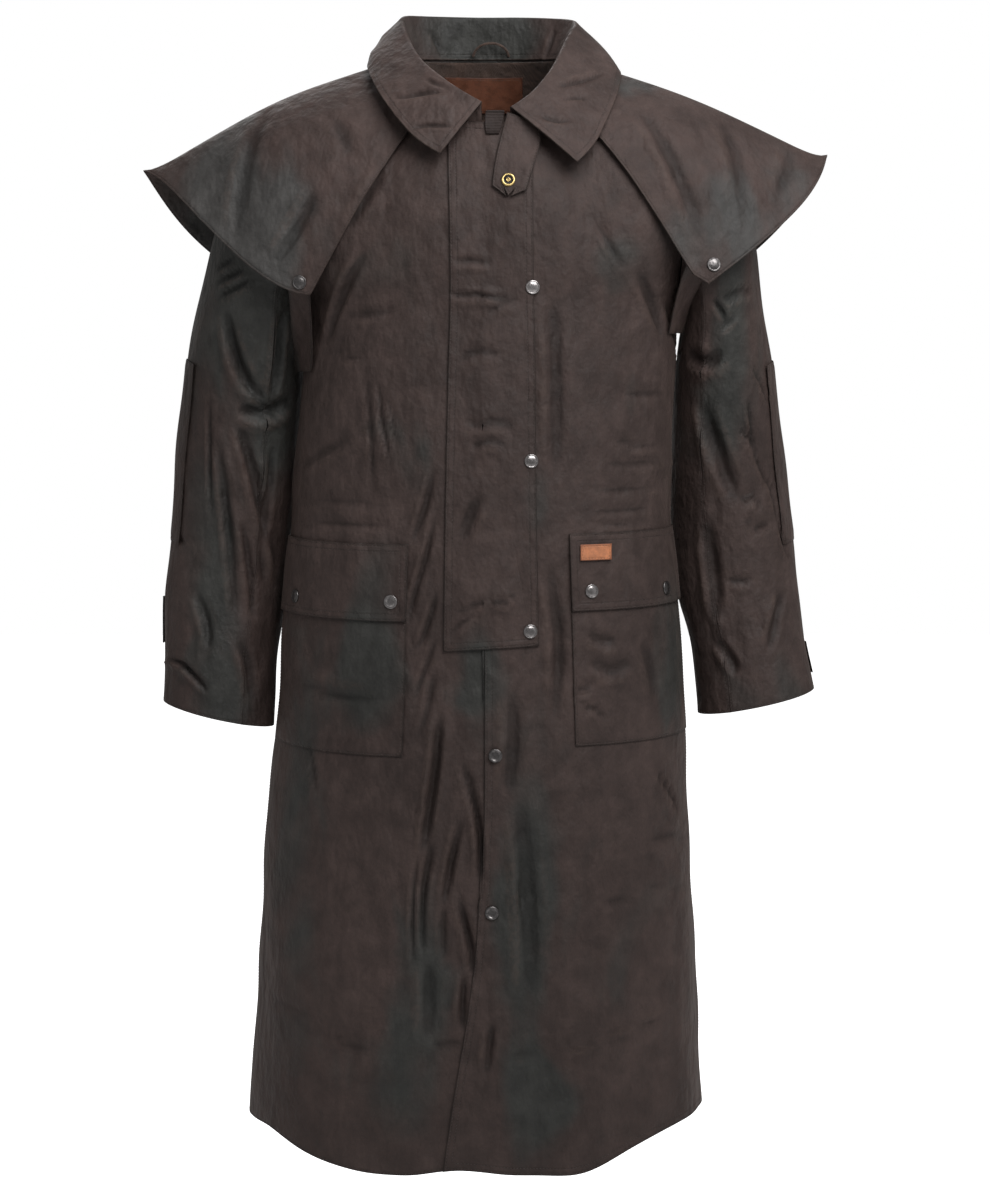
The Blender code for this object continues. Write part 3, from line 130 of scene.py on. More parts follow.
# Rows of sewing, as distances in from a piece's edges
SEWN_ROWS = {
    "back": (0.0024,),
    "front_right": (0.0024,),
    "front_left": (0.0024, 0.0085),
    "sleeve_upper_right": (0.0024,),
    "sleeve_upper_left": (0.0024,),
    "sleeve_under_right": (0.0024,),
    "sleeve_under_left": (0.0024,),
    "elbow_patch_right": (0.0022,),
    "elbow_patch_left": (0.0022,),
    "cuff_tab_right": (0.0022,),
    "cuff_tab_left": (0.0022,),
    "storm_flap": (0.0022, 0.0085),
    "throat_latch": (0.0022,),
    "pocket_right": (0.0022,),
    "pocket_left": (0.0022,),
    "pocket_flap_right": (0.0022, 0.0085),
    "pocket_flap_left": (0.0022, 0.0085),
    "cape_strap_right": (0.0022,),
    "cape_strap_left": (0.0022,),
    "cape": (0.0024,),
    "collar": (0.0065,),
    "neck_label": (0.0026,),
    "pocket_label": (0.0020,),
}

# Soft creases of the worn cloth, in millimetres. Each row holds half the crease's width, its depth (a
# trough is positive and a ridge negative) and x, y and z of every point along its line
CREASES = (
    # Chest and pockets
    (9, 3, -135, -111, -207, -151, -104, -233, -171, -86, -273, -183, -82, -313),
    (8, 1.6, -160, -96, -280, -130, -113, -277, -98, -125, -273),
    (6, 1.2, -173, -93, -321, -151, -110, -327, -135, -119, -325),
    (5, 1.8, -135, -121, -343, -131, -129, -397, -128, -134, -437, -127, -139, -487),
    (4, 2, -121, -128, -352, -117, -134, -397, -112, -139, -419, -106, -144, -453),
    (4, 1.4, -112, -133, -369, -104, -139, -397, -100, -143, -428),
    (10, 1.6, -216, -57, -459, -184, -99, -435, -151, -121, -416),
    (7, 1.4, -215, -70, -525, -178, -113, -515, -128, -141, -517, -93, -151, -510),
    (8, 1.2, -215, -65, -499, -165, -120, -489, -119, -143, -494),
    (6, 2.2, -57, -153, -452, -68, -155, -498, -83, -155, -535),
    (5, 2.2, -55, -157, -503, -67, -159, -554, -82, -159, -600, -86, -160, -625),
    (5, 2, -53, -163, -588, -64, -164, -628, -75, -164, -654, -86, -161, -645),
    (5, 1.8, -55, -166, -645, -69, -167, -681, -80, -167, -713),
    (6, 1.4, -57, -168, -676, -65, -170, -730, -78, -171, -764),
    (12, 2, 78, -130, -250, 81, -137, -318, 82, -145, -396, 81, -150, -464),
    (6, 1.4, 127, -111, -173, 145, -112, -205, 156, -110, -225),
    (10, 2.2, 173, -104, -227, 190, -83, -261, 205, -69, -303),
    (8, 1.6, 207, -64, -261, 218, -44, -302, 228, 24, -338),
    (5, 1.8, 159, -114, -370, 184, -96, -368, 213, -57, -370),
    (5, 1.4, 166, -110, -377, 197, -83, -377, 219, -38, -378),
    (6, 1.8, 145, -125, -420, 179, -103, -428, 214, -54, -424),
    (6, 2, 131, -133, -445, 164, -116, -450, 197, -83, -448, 224, 25, -448),
    (6, 1.6, 106, -144, -467, 137, -133, -477, 179, -104, -479, 215, -48, -473),
    (5, 1.8, 109, -145, -496, 143, -131, -503, 181, -103, -501, 215, -48, -506),
    (5, 1.4, 113, -145, -512, 155, -125, -517, 204, -75, -516),
    (10, 2.2, 73, -158, -554, 81, -160, -611, 86, -162, -668, 81, -168, -736),
    (7, 1, -230, -76, -698, -190, -124, -711, -142, -152, -716, -94, -167, -706),
    (10, -1, -205, -105, -689, -166, -139, -700, -130, -155, -699),
    (9, 2.2, 118, -154, -637, 132, -150, -649, 153, -140, -648),
    (10, 2.6, 120, -156, -669, 143, -148, -684, 169, -132, -674),
    (6, 2.2, 99, -162, -707, 111, -161, -703, 127, -156, -694),
    (6, 2, 101, -162, -716, 120, -159, -721, 139, -153, -734),
    (12, 1.8, 179, -123, -650, 193, -113, -681, 197, -113, -721),
    # Storm flap
    (6, 1.6, -36, -136, -219, -16, -135, -217, 9, -136, -221),
    (5, 2.6, -41, -134, -252, -25, -137, -258, -5, -138, -256, 14, -139, -261, 31, -138, -255),
    (6, 1.6, 2, -141, -275, 23, -139, -264, 40, -137, -261),
    (8, 1.8, -32, -145, -329, -5, -146, -317, 23, -147, -324),
    (8, 2.2, -25, -153, -396, -5, -156, -403, 18, -155, -396, 36, -155, -407),
    (7, 2, -16, -157, -427, 6, -158, -418, 27, -158, -425),
    (10, 2.2, -25, -164, -531, -16, -163, -503, -5, -162, -480),
    (4, 1.4, 40, -160, -467, 52, -158, -470, 61, -154, -466),
    (5, 2, -33, -168, -612, -11, -170, -605, 6, -170, -598),
    (4, 2.2, 2, -170, -596, 18, -170, -605, 29, -169, -596, 38, -168, -590),
    (6, 1.4, -41, -169, -640, -25, -170, -624, -7, -170, -612),
    # Skirt
    (6, 4, -25, -177, -783, -16, -179, -815, -7, -181, -849, -4, -186, -885, -6, -186, -923),
    (6, 3.6, -26, -181, -851, -35, -182, -883, -42, -183, -918, -46, -185, -947),
    (7, 4.4, -50, -172, -730, -57, -176, -798, -65, -179, -849, -70, -183, -893),
    (6, 3.6, -57, -180, -870, -67, -184, -909, -72, -187, -952, -70, -190, -1004),
    (6, 3.8, -30, -186, -936, -22, -188, -969, -15, -190, -998, -13, -192, -1026),
    (5, 2.4, -75, -182, -889, -80, -184, -924, -83, -187, -981, -80, -190, -1021),
    (6, 3, -23, -192, -1026, -26, -194, -1061, -25, -195, -1090),
    (5, 1.8, -80, -177, -847, -73, -178, -833, -70, -178, -827),
    (6, 2.2, -46, -185, -947, -48, -186, -975, -45, -189, -1010),
    (12, 2.4, -64, -190, -1010, -62, -192, -1056, -65, -195, -1102),
    (6, 1.4, -207, -114, -768, -197, -124, -807, -192, -132, -835),
    (5, 1.6, -267, -49, -1076, -243, -103, -1080, -207, -147, -1082, -183, -159, -1083),
    (4, 1.6, -62, -195, -1105, -39, -195, -1106, -21, -198, -1103),
    (8, 1.2, -179, -163, -1099, -161, -170, -1116, -129, -180, -1118),
    (5, -1.8, 94, -193, -1119, 119, -185, -1113, 140, -174, -1108),
    (5, -1.8, 137, -175, -1107, 166, -158, -1098, 190, -143, -1090, 214, -124, -1084),
    (6, 1.4, 31, -199, -1112, 50, -197, -1121, 73, -195, -1120),
    (5, 1.6, 132, -167, -945, 153, -157, -945, 170, -147, -945),
    (6, 1.2, 189, -133, -935, 214, -111, -944, 241, -59, -951),
    (5, 2.6, 198, -115, -801, 214, -98, -830, 230, -74, -865),
    (14, 3, 40, -180, -826, 47, -183, -883, 52, -187, -964, 54, -192, -1056),
    (12, 2.2, 31, -173, -701, 34, -177, -758, 27, -182, -826),
    (6, 2, 37, -186, -917, 43, -187, -935, 42, -188, -957),
    (10, 1.4, 180, -136, -881, 214, -103, -882, 242, -41, -899),
    (7, 2.6, 9, -198, -1083, 5, -200, -1112, 3, -202, -1141),
    # Right sleeve
    (5, 3.4, -313, -37, -241, -295, -56, -234, -277, -68, -225),
    (5, 3.4, -311, -41, -258, -290, -57, -249, -271, -67, -238),
    (5, 2.2, -316, -34, -227, -300, -51, -218, -287, -62, -212),
    (9, 5, -301, -49, -273, -296, -49, -308, -285, -48, -343, -270, -43, -368, -254, -34, -381),
    (8, 4.6, -234, -49, -273, -239, -41, -308, -243, -34, -343, -250, -32, -376),
    (11, 6, -289, -42, -387, -273, -38, -394, -247, -26, -390, -230, -9, -379),
    (9, 4, -289, -39, -401, -276, -32, -449, -263, -25, -508, -253, -11, -569),
    (7, 3, -313, -34, -425, -305, -35, -495, -299, -34, -566, -294, -38, -637),
    (6, 2.6, -286, -34, -519, -278, -28, -579, -274, -28, -639),
    (7, 3, -251, -19, -437, -257, -20, -497, -259, -19, -532),
    (8, -3, -257, -18, -520, -258, -16, -556, -254, -10, -599),
    (4, 2, -323, -38, -354, -324, -31, -413, -324, -32, -472, -322, -33, -525),
    (4, 1.4, -374, 7, -548, -355, -16, -544, -337, -28, -541),
    (5, 4, -387, 10, -688, -362, -31, -687, -343, -43, -704, -327, -49, -722),
    (9, 2.6, -290, -38, -661, -279, -35, -692, -277, -35, -734),
    (8, 2.6, -342, -31, -603, -329, -41, -637, -325, -45, -672),
    (9, 3.6, -250, 107, -400, -290, 125, -425, -335, 114, -415),
    (8, 3.4, -262, 114, -440, -300, 121, -466, -350, 101, -450),
    (9, 3.4, -270, 115, -300, -300, 122, -340, -320, 121, -385),
    (8, 3, -300, 113, -540, -318, 104, -600, -326, 85, -670),
    (7, 2.6, -345, 100, -560, -352, 85, -620, -350, 75, -680),
    # Left sleeve
    (5, 3, 263, -64, -259, 275, -59, -273, 281, -56, -287),
    (5, 3, 267, -55, -296, 285, -55, -287, 307, -39, -273),
    (7, 3, 275, -62, -261, 294, -54, -252, 312, -33, -250),
    (11, 5, 239, -24, -322, 258, -44, -336, 279, -51, -322),
    (12, 4.6, 252, -34, -378, 269, -35, -425, 286, -35, -472, 298, -34, -495),
    (6, 3, 297, -37, -411, 309, -32, -420, 321, -28, -435),
    (6, 2.8, 301, -34, -495, 315, -30, -492, 327, -26, -500),
    (6, 2.4, 303, -34, -519, 320, -30, -527, 338, -21, -523),
    (4, 3, 312, -41, -337, 326, -25, -361, 337, -14, -385),
    (4, 3, 314, -30, -432, 327, -24, -461, 340, -15, -487, 348, -12, -521),
    (4, 2.4, 348, -12, -521, 356, -9, -551, 364, 0, -570),
    (4, 2.6, 308, -37, -378, 313, -31, -407, 316, -29, -431),
    (8, 3.4, 274, -31, -662, 288, -40, -679, 299, -45, -701),
    (6, 2.2, 283, -33, -588, 299, -36, -592, 316, -36, -590),
    (8, 2.6, 353, -20, -604, 345, -35, -638, 335, -44, -672),
    (11, 3.4, 261, -27, -520, 271, -29, -579, 274, -32, -638),
    (9, 3.6, 250, 107, -405, 292, 124, -432, 338, 99, -420),
    (8, 3.2, 260, 114, -452, 300, 120, -474, 345, 95, -466),
    (9, 3.4, 262, 109, -300, 290, 124, -345, 310, 122, -390),
    (8, 3, 298, 114, -530, 312, 104, -600, 322, 85, -665),
    (7, 2.6, 335, 102, -560, 345, 87, -625, 352, 73, -690),
    # Cape
    (10, 3.6, -192, -101, -137, -205, -103, -165, -221, -103, -194, -238, -103, -218),
    (9, 2, -114, -93, -112, -135, -103, -144, -155, -105, -182),
    (13, 2.2, -252, -26, -44, -270, -58, -90, -280, -78, -148, -284, -89, -193),
    (11, 1.6, -178, -59, -47, -159, -81, -74, -153, -96, -103),
    (12, 2.2, 179, -56, -44, 209, -84, -91, 234, -94, -148, 248, -99, -199),
    (14, 1.8, 274, -23, -53, 292, -54, -101, 295, -79, -165),
    (11, 1.8, 357, -12, -85, 352, -34, -111, 336, -58, -147),
    (13, 3, -120, 95, -60, -140, 124, -150, -150, 149, -250),
    (14, 3, -30, 119, -60, -36, 139, -160, -30, 159, -260),
    (13, 2.8, 70, 113, -60, 84, 134, -150, 90, 156, -260),
    (12, 2.6, 170, 90, -70, 200, 112, -140, 220, 129, -210),
    (12, 2.6, -210, 78, -70, -250, 95, -130, -290, 105, -190),
    (8, 1.6, 10, 147, -200, 60, 146, -206, 110, 140, -198),
    (8, 1.6, -180, 118, -150, -130, 129, -160, -80, 134, -152),
    # Collar
    (5, 2, -105, -85, -33, -85, -90, -31, -62, -95, -27, -41, -98, -25),
    (4, 1.8, -82, -114, -68, -61, -116, -65, -36, -119, -67),
    (4, 1.4, -69, -79, -10, -55, -90, -18, -39, -96, -23),
    (5, 2.4, 141, -29, 1, 122, -44, -7, 100, -58, -14, 82, -71, -19),
    (4, 2, 63, -104, -54, 81, -106, -61, 99, -98, -58),
    (4, 1.4, 86, -83, -35, 105, -72, -31, 123, -68, -34),
    (5, 1.8, -65, 58, 58, -56, 62, 39, -51, 63, 23),
    (5, 1.8, 84, 54, 57, 77, 50, 38, 73, 47, 22),
    # Back
    (10, 2.6, -60, 125, -350, -52, 127, -420, -58, 128, -500),
    (9, 2.2, 45, 126, -345, 60, 126, -410, 55, 127, -480),
    (8, 2, -120, 112, -360, -108, 118, -430, -96, 122, -490),
    (10, 3.4, -205, 43, -330, -180, 83, -385, -150, 103, -425),
    (10, 3.2, 200, 69, -330, 172, 91, -390, 140, 107, -440),
    (9, 2.6, -190, 83, -520, -120, 117, -535, -50, 129, -528),
    (8, 2.4, 170, 92, -510, 110, 118, -528, 40, 130, -540),
    (7, 2, -150, 108, -560, -90, 125, -572, -30, 131, -562),
    (9, 2, 20, 132, -575, 80, 128, -586, 150, 105, -566),
    (6, 1.6, -60, 127, -500, 0, 130, -505, 50, 128, -498),
    (10, 3.6, -110, 126, -640, -118, 135, -760, -128, 147, -880, -124, 163, -980),
    (9, 3.4, -40, 139, -680, -46, 151, -800, -40, 166, -930),
    (11, 3.6, 60, 134, -640, 70, 149, -780, 78, 166, -920, 74, 181, -1040),
    (9, 3, 150, 115, -700, 158, 121, -820, 166, 133, -960),
    (8, 3, -190, 97, -700, -204, 103, -820, -210, 114, -940),
    (7, 2.4, 8, 149, -820, 14, 163, -930, 10, 178, -1050),
    (7, 2.4, -80, 164, -900, -84, 177, -1000, -80, 189, -1110),
    (8, 2.4, 115, 154, -900, 120, 166, -1010, 116, 181, -1120),
    (5, 1.8, -180, 146, -1080, -120, 178, -1092, -60, 187, -1086),
    (5, 1.6, 40, 182, -1060, 110, 178, -1070, 190, 127, -1050),
    (5, -1.6, -90, 146, -760, -30, 146, -772, 30, 145, -765),
    (10, 2.4, -130, 119, -620, -70, 135, -655, -10, 136, -648),
    (9, 2.2, 130, 117, -612, 80, 134, -646, 20, 135, -640),
)

# Pieces that keep their solid's form, and flat pieces whose edges are sewn down
QUIET = ("neck_facing", "neck_label", "hanger_loop", "collar_stand_end", "throat_latch")
FLAT_SEWN = ("elbow_patch_right", "elbow_patch_left", "pocket_right", "pocket_left", "cuff_tab_right",
             "cuff_tab_left")

# Taking the side that shows off a solid
MERGE = 0.00001  # points this close are one
RIM_SHARE = 1.25  # a face with an edge shorter than this share of the wall is on the rim
FOLD_TOP = 0.012  # height of the band at the collar's fold that tells its two sides apart
DOME_LOW = 0.35  # distance of the cape's middle below the shoulders
SLEEVE_TOP = (0.262, 0.025, -0.10)  # start of a sleeve's middle line
SLEEVE_SPREAD = 0.068  # how far that line leans out
SLEEVE_REACH = 0.65  # how far it runs down
CORNER_TURN = 38  # degrees that an outline turns at a sharp corner
COLLAR_TURN = 62  # the same on the collar, whose ends are rounder

# Creases and waves
MM = 1000  # millimetres in a metre
LINE_ROUNDS = 2  # times that a crease's corners are cut
CREASE_REACH = 3.6  # half widths to which a crease is felt
CREASE_NARROW = 0.70  # share of the stated width that is used
CREASE_FADE = 0.7  # how fast a crease fades towards its ends
BANKS = (0.55, 0.22)  # height of the two banks as shares of the depth
BANK_PLACE = 1.75  # half widths from the line to a bank
BANK_WIDTH = 0.8  # half widths that a bank is wide
RELIEF_FULL = 0.0030  # depth that counts as full in the material
WAVE_SEED = 11
WAVE_COUNT = 28
WAVES_ACROSS = (0.045, 0.17)  # shortest and longest wave round the coat
WAVES_DOWN = (0.10, 0.45)  # the same down the coat
CALM_TOP = (-0.20, -0.09)  # heights between which the waves die away

# Laying pieces on one another
SETTLE_ROUNDS = 2
SETTLE_REACH = 0.012  # how far away the piece below is looked for
SETTLE_SMOOTH = 3  # rounds of smoothing of the push
EDGE_REACH = 0.020  # distances from the edge are counted up to this
EDGE_SPLITS = 3  # samples along each edge of the outline
EDGE_SINK = 0.62  # share of the wall by which a sewn edge sinks
EDGE_TAPER = 0.007  # width over which it sinks
STAND_END_RIDGE = 0.0006  # height of the ribs on the end of the collar stand
STAND_END_PITCH = 0.0031  # distance between them
STAIN_FULL = 1.2  # strongest stain where several overlap
STAIN_SOFT = 1.5  # how sharply a stain ends

# Sewing and snaps
STITCH_SINK = 0.18  # share of the thread's width that a stitch stands out
SNAP_SIDES = 36
SNAP_BED = 0.0002  # depth of a snap in the cloth
SNAP_PROBES = 12  # places round a snap where the cloth's height is read

# Green-grey stains in the wax. Columns: middle x, y, z, reach across, reach in depth, reach down, strength
STAINS = (
    (-0.078, -0.14, -1.09, 0.046, 0.20, 0.200, 1.0),
    (0.045, -0.14, -0.95, 0.040, 0.20, 0.230, 1.0),
    (0.070, -0.14, -1.17, 0.050, 0.20, 0.080, 1.0),
    (-0.128, -0.14, -0.64, 0.042, 0.16, 0.130, 1.1),
    (0.000, -0.14, -0.70, 0.036, 0.16, 0.080, 0.9),
    (-0.130, -0.12, -0.39, 0.040, 0.16, 0.070, 0.8),
    (0.150, -0.12, -0.22, 0.038, 0.16, 0.042, 0.7),
    (0.055, -0.12, -0.47, 0.022, 0.16, 0.100, 0.7),
    (-0.220, -0.12, -0.95, 0.030, 0.16, 0.200, 0.6),
    (-0.290, 0.00, -0.42, 0.070, 0.16, 0.320, 0.7),
    (0.285, 0.00, -0.35, 0.042, 0.16, 0.110, 1.0),
    (0.215, -0.08, -0.68, 0.030, 0.10, 0.110, 0.7),
    (-0.280, -0.02, -0.18, 0.110, 0.20, 0.100, 1.0),
    (0.290, -0.02, -0.17, 0.110, 0.20, 0.090, 0.8),
    (0.000, 0.16, -0.28, 0.180, 0.10, 0.080, 0.9),
    (0.000, 0.08, 0.045, 0.100, 0.045, 0.050, 1.2),
    (0.060, 0.14, -0.60, 0.080, 0.12, 0.220, 0.9),
    (-0.110, 0.14, -1.02, 0.080, 0.12, 0.180, 0.9),
)

# Rows of stitches that are made as one piece
SEWING = {
    "sewing_body": ("back", "front_right", "front_left"),
    "sewing_sleeves": ("sleeve_upper_right", "sleeve_upper_left", "sleeve_under_right", "sleeve_under_left",
                       "elbow_patch_right", "elbow_patch_left", "cuff_tab_right", "cuff_tab_left"),
    "sewing_cape_and_collar": ("cape", "collar", "cape_strap_right", "cape_strap_left"),
    "sewing_pockets_and_flaps": ("storm_flap", "throat_latch", "pocket_right", "pocket_left",
                                 "pocket_flap_right", "pocket_flap_left"),
    "sewing_labels": ("neck_label", "pocket_label"),
}

# Profiles of the snaps: radius and height as shares of the snap's radius
CAP_PROFILE = ((0.0, 0.350), (0.20, 0.345), (0.40, 0.325), (0.58, 0.285), (0.70, 0.240), (0.76, 0.215),
               (0.82, 0.235), (0.89, 0.260), (0.95, 0.235), (0.985, 0.180), (1.0, 0.110), (0.98, 0.030),
               (0.93, 0.0), (0.0, 0.0))
RING_PROFILE = ((0.0, 0.170), (0.30, 0.172), (0.50, 0.180), (0.60, 0.215), (0.66, 0.290), (0.74, 0.335),
                (0.84, 0.345), (0.92, 0.310), (0.98, 0.220), (1.0, 0.110), (0.98, 0.030), (0.93, 0.0),
                (0.0, 0.0))
THROAT_PROFILE = ((0.0, 0.055), (0.10, 0.055), (0.12, 0.160), (0.20, 0.215), (0.28, 0.215), (0.33, 0.140),
                  (0.36, 0.060), (0.56, 0.055), (0.62, 0.120), (0.66, 0.225), (0.74, 0.270), (0.86, 0.270),
                  (0.95, 0.220), (1.0, 0.110), (0.98, 0.0), (0.0, 0.0))
# Kinds of snap: profile, metal, metal of the hollow, and the radii between which the hollow lies. The dim, dark
# and ring kinds take painted shade on the one nickel
SNAP_KINDS = {
    "bright": (CAP_PROFILE, "nickel", None, None),
    "dim": (CAP_PROFILE, "nickel_dim", None, None),
    "dark": (CAP_PROFILE, "nickel_dark", None, None),
    "ring": (RING_PROFILE, "nickel_dark", "nickel_inner", (0.0, 0.58)),
    "throat": (THROAT_PROFILE, "brass_plate", "recess", (0.34, 0.64)),
}
# Snaps: the cloth that each sits on and its kind
SNAPS = {
    "storm_snap_top": ("storm_flap", "bright"),
    "storm_snap_middle": ("storm_flap", "dim"),
    "storm_snap_bottom": ("storm_flap", "dim"),
    "front_snap_upper": ("front_left", "ring"),
    "front_snap_lower": ("front_left", "ring"),
    "pocket_snap_right_inner": ("pocket_flap_right", "dim"),
    "pocket_snap_right_outer": ("pocket_flap_right", "dark"),
    "pocket_snap_left_inner": ("pocket_flap_left", "dim"),
    "pocket_snap_left_outer": ("pocket_flap_left", "dark"),
    "cape_snap_right": ("cape", "dark"),
    "cape_snap_left": ("cape", "dark"),
    "cuff_snap_right": ("cuff_tab_right", "dim"),
    "cuff_snap_left": ("cuff_tab_left", "dim"),
    "throat_snap": ("throat_latch", "throat"),
}

# Lights. Columns: name, place, what it is aimed at, width, height, power, share of that power
COAT_MIDDLE = (0.0, 0.0, -0.60)
LIGHTS = (
    ("main_light", (0.75, -1.45, 1.20), (0.0, 0.0, -0.40), 1.6, 1.6, "key_power", 1.0),
    ("fill_light_left", (2.4, -1.4, 0.1), COAT_MIDDLE, 1.2, 2.4, "fill_power", 1.0),
    ("fill_light_right", (-2.4, -1.0, 0.1), COAT_MIDDLE, 1.2, 2.4, "fill_power", 1.0),
    ("back_light", (-0.6, 2.0, 1.3), COAT_MIDDLE, 1.8, 1.8, "key_power", 0.6),
)
FLOOR_HALF = 7.0
CAMERA_PLACE = (0.012, -3.1, -0.2614)
CAMERA_TILT = 83.57
CAMERA_LENS = 79.06
CAMERA_SENSOR = 36.0


# Sizes and colours that a user would change

class DusterSizes(bpy.types.PropertyGroup):
    """Sizes of the cloth's finish and of the sewing."""

    crease_share: bpy.props.FloatProperty(
        name="Crease depth", description="Share of the depth of every crease", default=2.1, min=0.0, max=4.0)
    wave_height: bpy.props.FloatProperty(
        name="Wave height", description="Height of the cloth's soft unevenness", default=0.0009,
        min=0.0, max=0.003, unit="LENGTH", precision=4)
    stitch_length: bpy.props.FloatProperty(
        name="Stitch length", description="Length of one stitch that shows", default=0.0027,
        min=0.001, max=0.006, unit="LENGTH", precision=4)
    stitch_pitch: bpy.props.FloatProperty(
        name="Stitch pitch", description="Distance from one stitch to the next", default=0.0038,
        min=0.002, max=0.008, unit="LENGTH", precision=4)
    thread_width: bpy.props.FloatProperty(
        name="Thread width", description="Thickness of the sewing thread", default=0.00055,
        min=0.0002, max=0.001, unit="LENGTH", precision=5)
    snap_radius: bpy.props.FloatProperty(
        name="Snap radius", description="Radius of a snap cap", default=0.0080,
        min=0.005, max=0.010, unit="LENGTH", precision=4)


class DusterColours(bpy.types.PropertyGroup):
    """Colours of the cloth, leather, thread and metal."""

    brown: bpy.props.FloatVectorProperty(
        name="Waxed brown", description="Main colour of the oilskin", subtype="COLOR", size=4,
        default=(0.0425, 0.0288, 0.0256, 1.0), min=0.0, max=1.0)
    green_grey: bpy.props.FloatVectorProperty(
        name="Green grey", description="Patches where the wax lies thicker", subtype="COLOR", size=4,
        default=(0.0300, 0.0298, 0.0275, 1.0), min=0.0, max=1.0)
    cape_grey: bpy.props.FloatVectorProperty(
        name="Cape grey", description="Main colour of the cape", subtype="COLOR", size=4,
        default=(0.0420, 0.0400, 0.0382, 1.0), min=0.0, max=1.0)
    worn: bpy.props.FloatVectorProperty(
        name="Worn wax", description="Colour of rubbed edges and crease tops", subtype="COLOR", size=4,
        default=(0.092, 0.062, 0.050, 1.0), min=0.0, max=1.0)
    lining: bpy.props.FloatVectorProperty(
        name="Lining", description="Colour of the neck facing", subtype="COLOR", size=4,
        default=(0.048, 0.027, 0.019, 1.0), min=0.0, max=1.0)
    neck_leather: bpy.props.FloatVectorProperty(
        name="Neck label leather", description="Colour of the leather inside the neck", subtype="COLOR", size=4,
        default=(0.140, 0.047, 0.022, 1.0), min=0.0, max=1.0)
    pocket_leather: bpy.props.FloatVectorProperty(
        name="Pocket label leather", description="Colour of the leather on the pocket flap", subtype="COLOR",
        size=4, default=(0.450, 0.165, 0.070, 1.0), min=0.0, max=1.0)
    thread: bpy.props.FloatVectorProperty(
        name="Thread", description="Colour of the sewing thread", subtype="COLOR", size=4,
        default=(0.045, 0.034, 0.029, 1.0), min=0.0, max=1.0)
    nickel: bpy.props.FloatVectorProperty(
        name="Nickel", description="Colour of the snap caps", subtype="COLOR", size=4,
        default=(0.50, 0.47, 0.465, 1.0), min=0.0, max=1.0)
    brass: bpy.props.FloatVectorProperty(
        name="Brass", description="Colour of the throat ring", subtype="COLOR", size=4,
        default=(0.58, 0.43, 0.18, 1.0), min=0.0, max=1.0)


class DusterStage(bpy.types.PropertyGroup):
    """Floor and light round the coat."""

    floor_drop: bpy.props.FloatProperty(
        name="Floor drop", description="Distance from the hem down to the floor", default=0.30,
        min=0.0, max=1.0, unit="LENGTH")
    key_power: bpy.props.FloatProperty(
        name="Main light", description="Power of the soft main light", default=60.0, min=0.0, max=500.0,
        unit="POWER")
    fill_power: bpy.props.FloatProperty(
        name="Fill light", description="Power of the two side lights", default=4.0, min=0.0, max=500.0,
        unit="POWER")
    sky: bpy.props.FloatProperty(
        name="Sky", description="Strength of the pale surroundings as the coat sees them", default=0.25,
        min=0.0, max=5.0)


# Materials

def new_node(tree, kind, **values):
    """A shader node with its plain properties set."""
    made = tree.nodes.new(kind)
    for name, value in values.items():
        setattr(made, name, value)
    return made


def shade(tree, kind, *inputs, **values):
    """A shader node whose first inputs are joined to sockets or set to values."""
    made = new_node(tree, kind, **values)
    for socket, given in zip(made.inputs, inputs):
        if given is None:
            continue
        if isinstance(given, bpy.types.NodeSocket):
            tree.links.new(given, socket)
        else:
            socket.default_value = given
    return made


def maths(tree, operation, first, second=0.0, clamp=False):
    return shade(tree, "ShaderNodeMath", first, second, operation=operation, use_clamp=clamp).outputs[0]


def ramp(tree, value, low, high, first=0.0, last=1.0):
    """Smooth step of a value from one level to another."""
    return shade(tree, "ShaderNodeMapRange", value, low, high, first, last,
                 interpolation_type="SMOOTHSTEP").outputs[0]


def mixed(tree, share, first, second, blend="MIX"):
    made = new_node(tree, "ShaderNodeMix", data_type="RGBA", blend_type=blend)
    for socket, given in ((made.inputs[0], share), (made.inputs[6], first), (made.inputs[7], second)):
        if isinstance(given, bpy.types.NodeSocket):
            tree.links.new(given, socket)
        else:
            socket.default_value = given
    return made.outputs[2]


def noise(tree, place, scale, detail=3.0, rough=0.55, distortion=0.0, squeeze=1.0):
    """A noise, made longer down the coat by a squeeze under one."""
    if squeeze != 1.0:
        place = shade(tree, "ShaderNodeMapping", place, None, None, (1.0, 1.0, squeeze)).outputs[0]
    made = new_node(tree, "ShaderNodeTexNoise")
    tree.links.new(place, made.inputs["Vector"])
    made.inputs["Scale"].default_value = scale
    made.inputs["Detail"].default_value = detail
    made.inputs["Roughness"].default_value = rough
    made.inputs["Distortion"].default_value = distortion
    return made.outputs["Fac"]


def object_place(tree):
    return new_node(tree, "ShaderNodeTexCoord").outputs["Object"]


def attribute(tree, name):
    return new_node(tree, "ShaderNodeAttribute", attribute_name=name).outputs["Fac"]


def bump_profile(tree, edge, line, width, height):
    """A narrow groove or ridge at one distance from the edge."""
    off = maths(tree, "DIVIDE", maths(tree, "SUBTRACT", edge, line), width)
    bell = maths(tree, "EXPONENT", maths(tree, "MULTIPLY", maths(tree, "MULTIPLY", off, off), -1.0))
    return maths(tree, "MULTIPLY", bell, height)


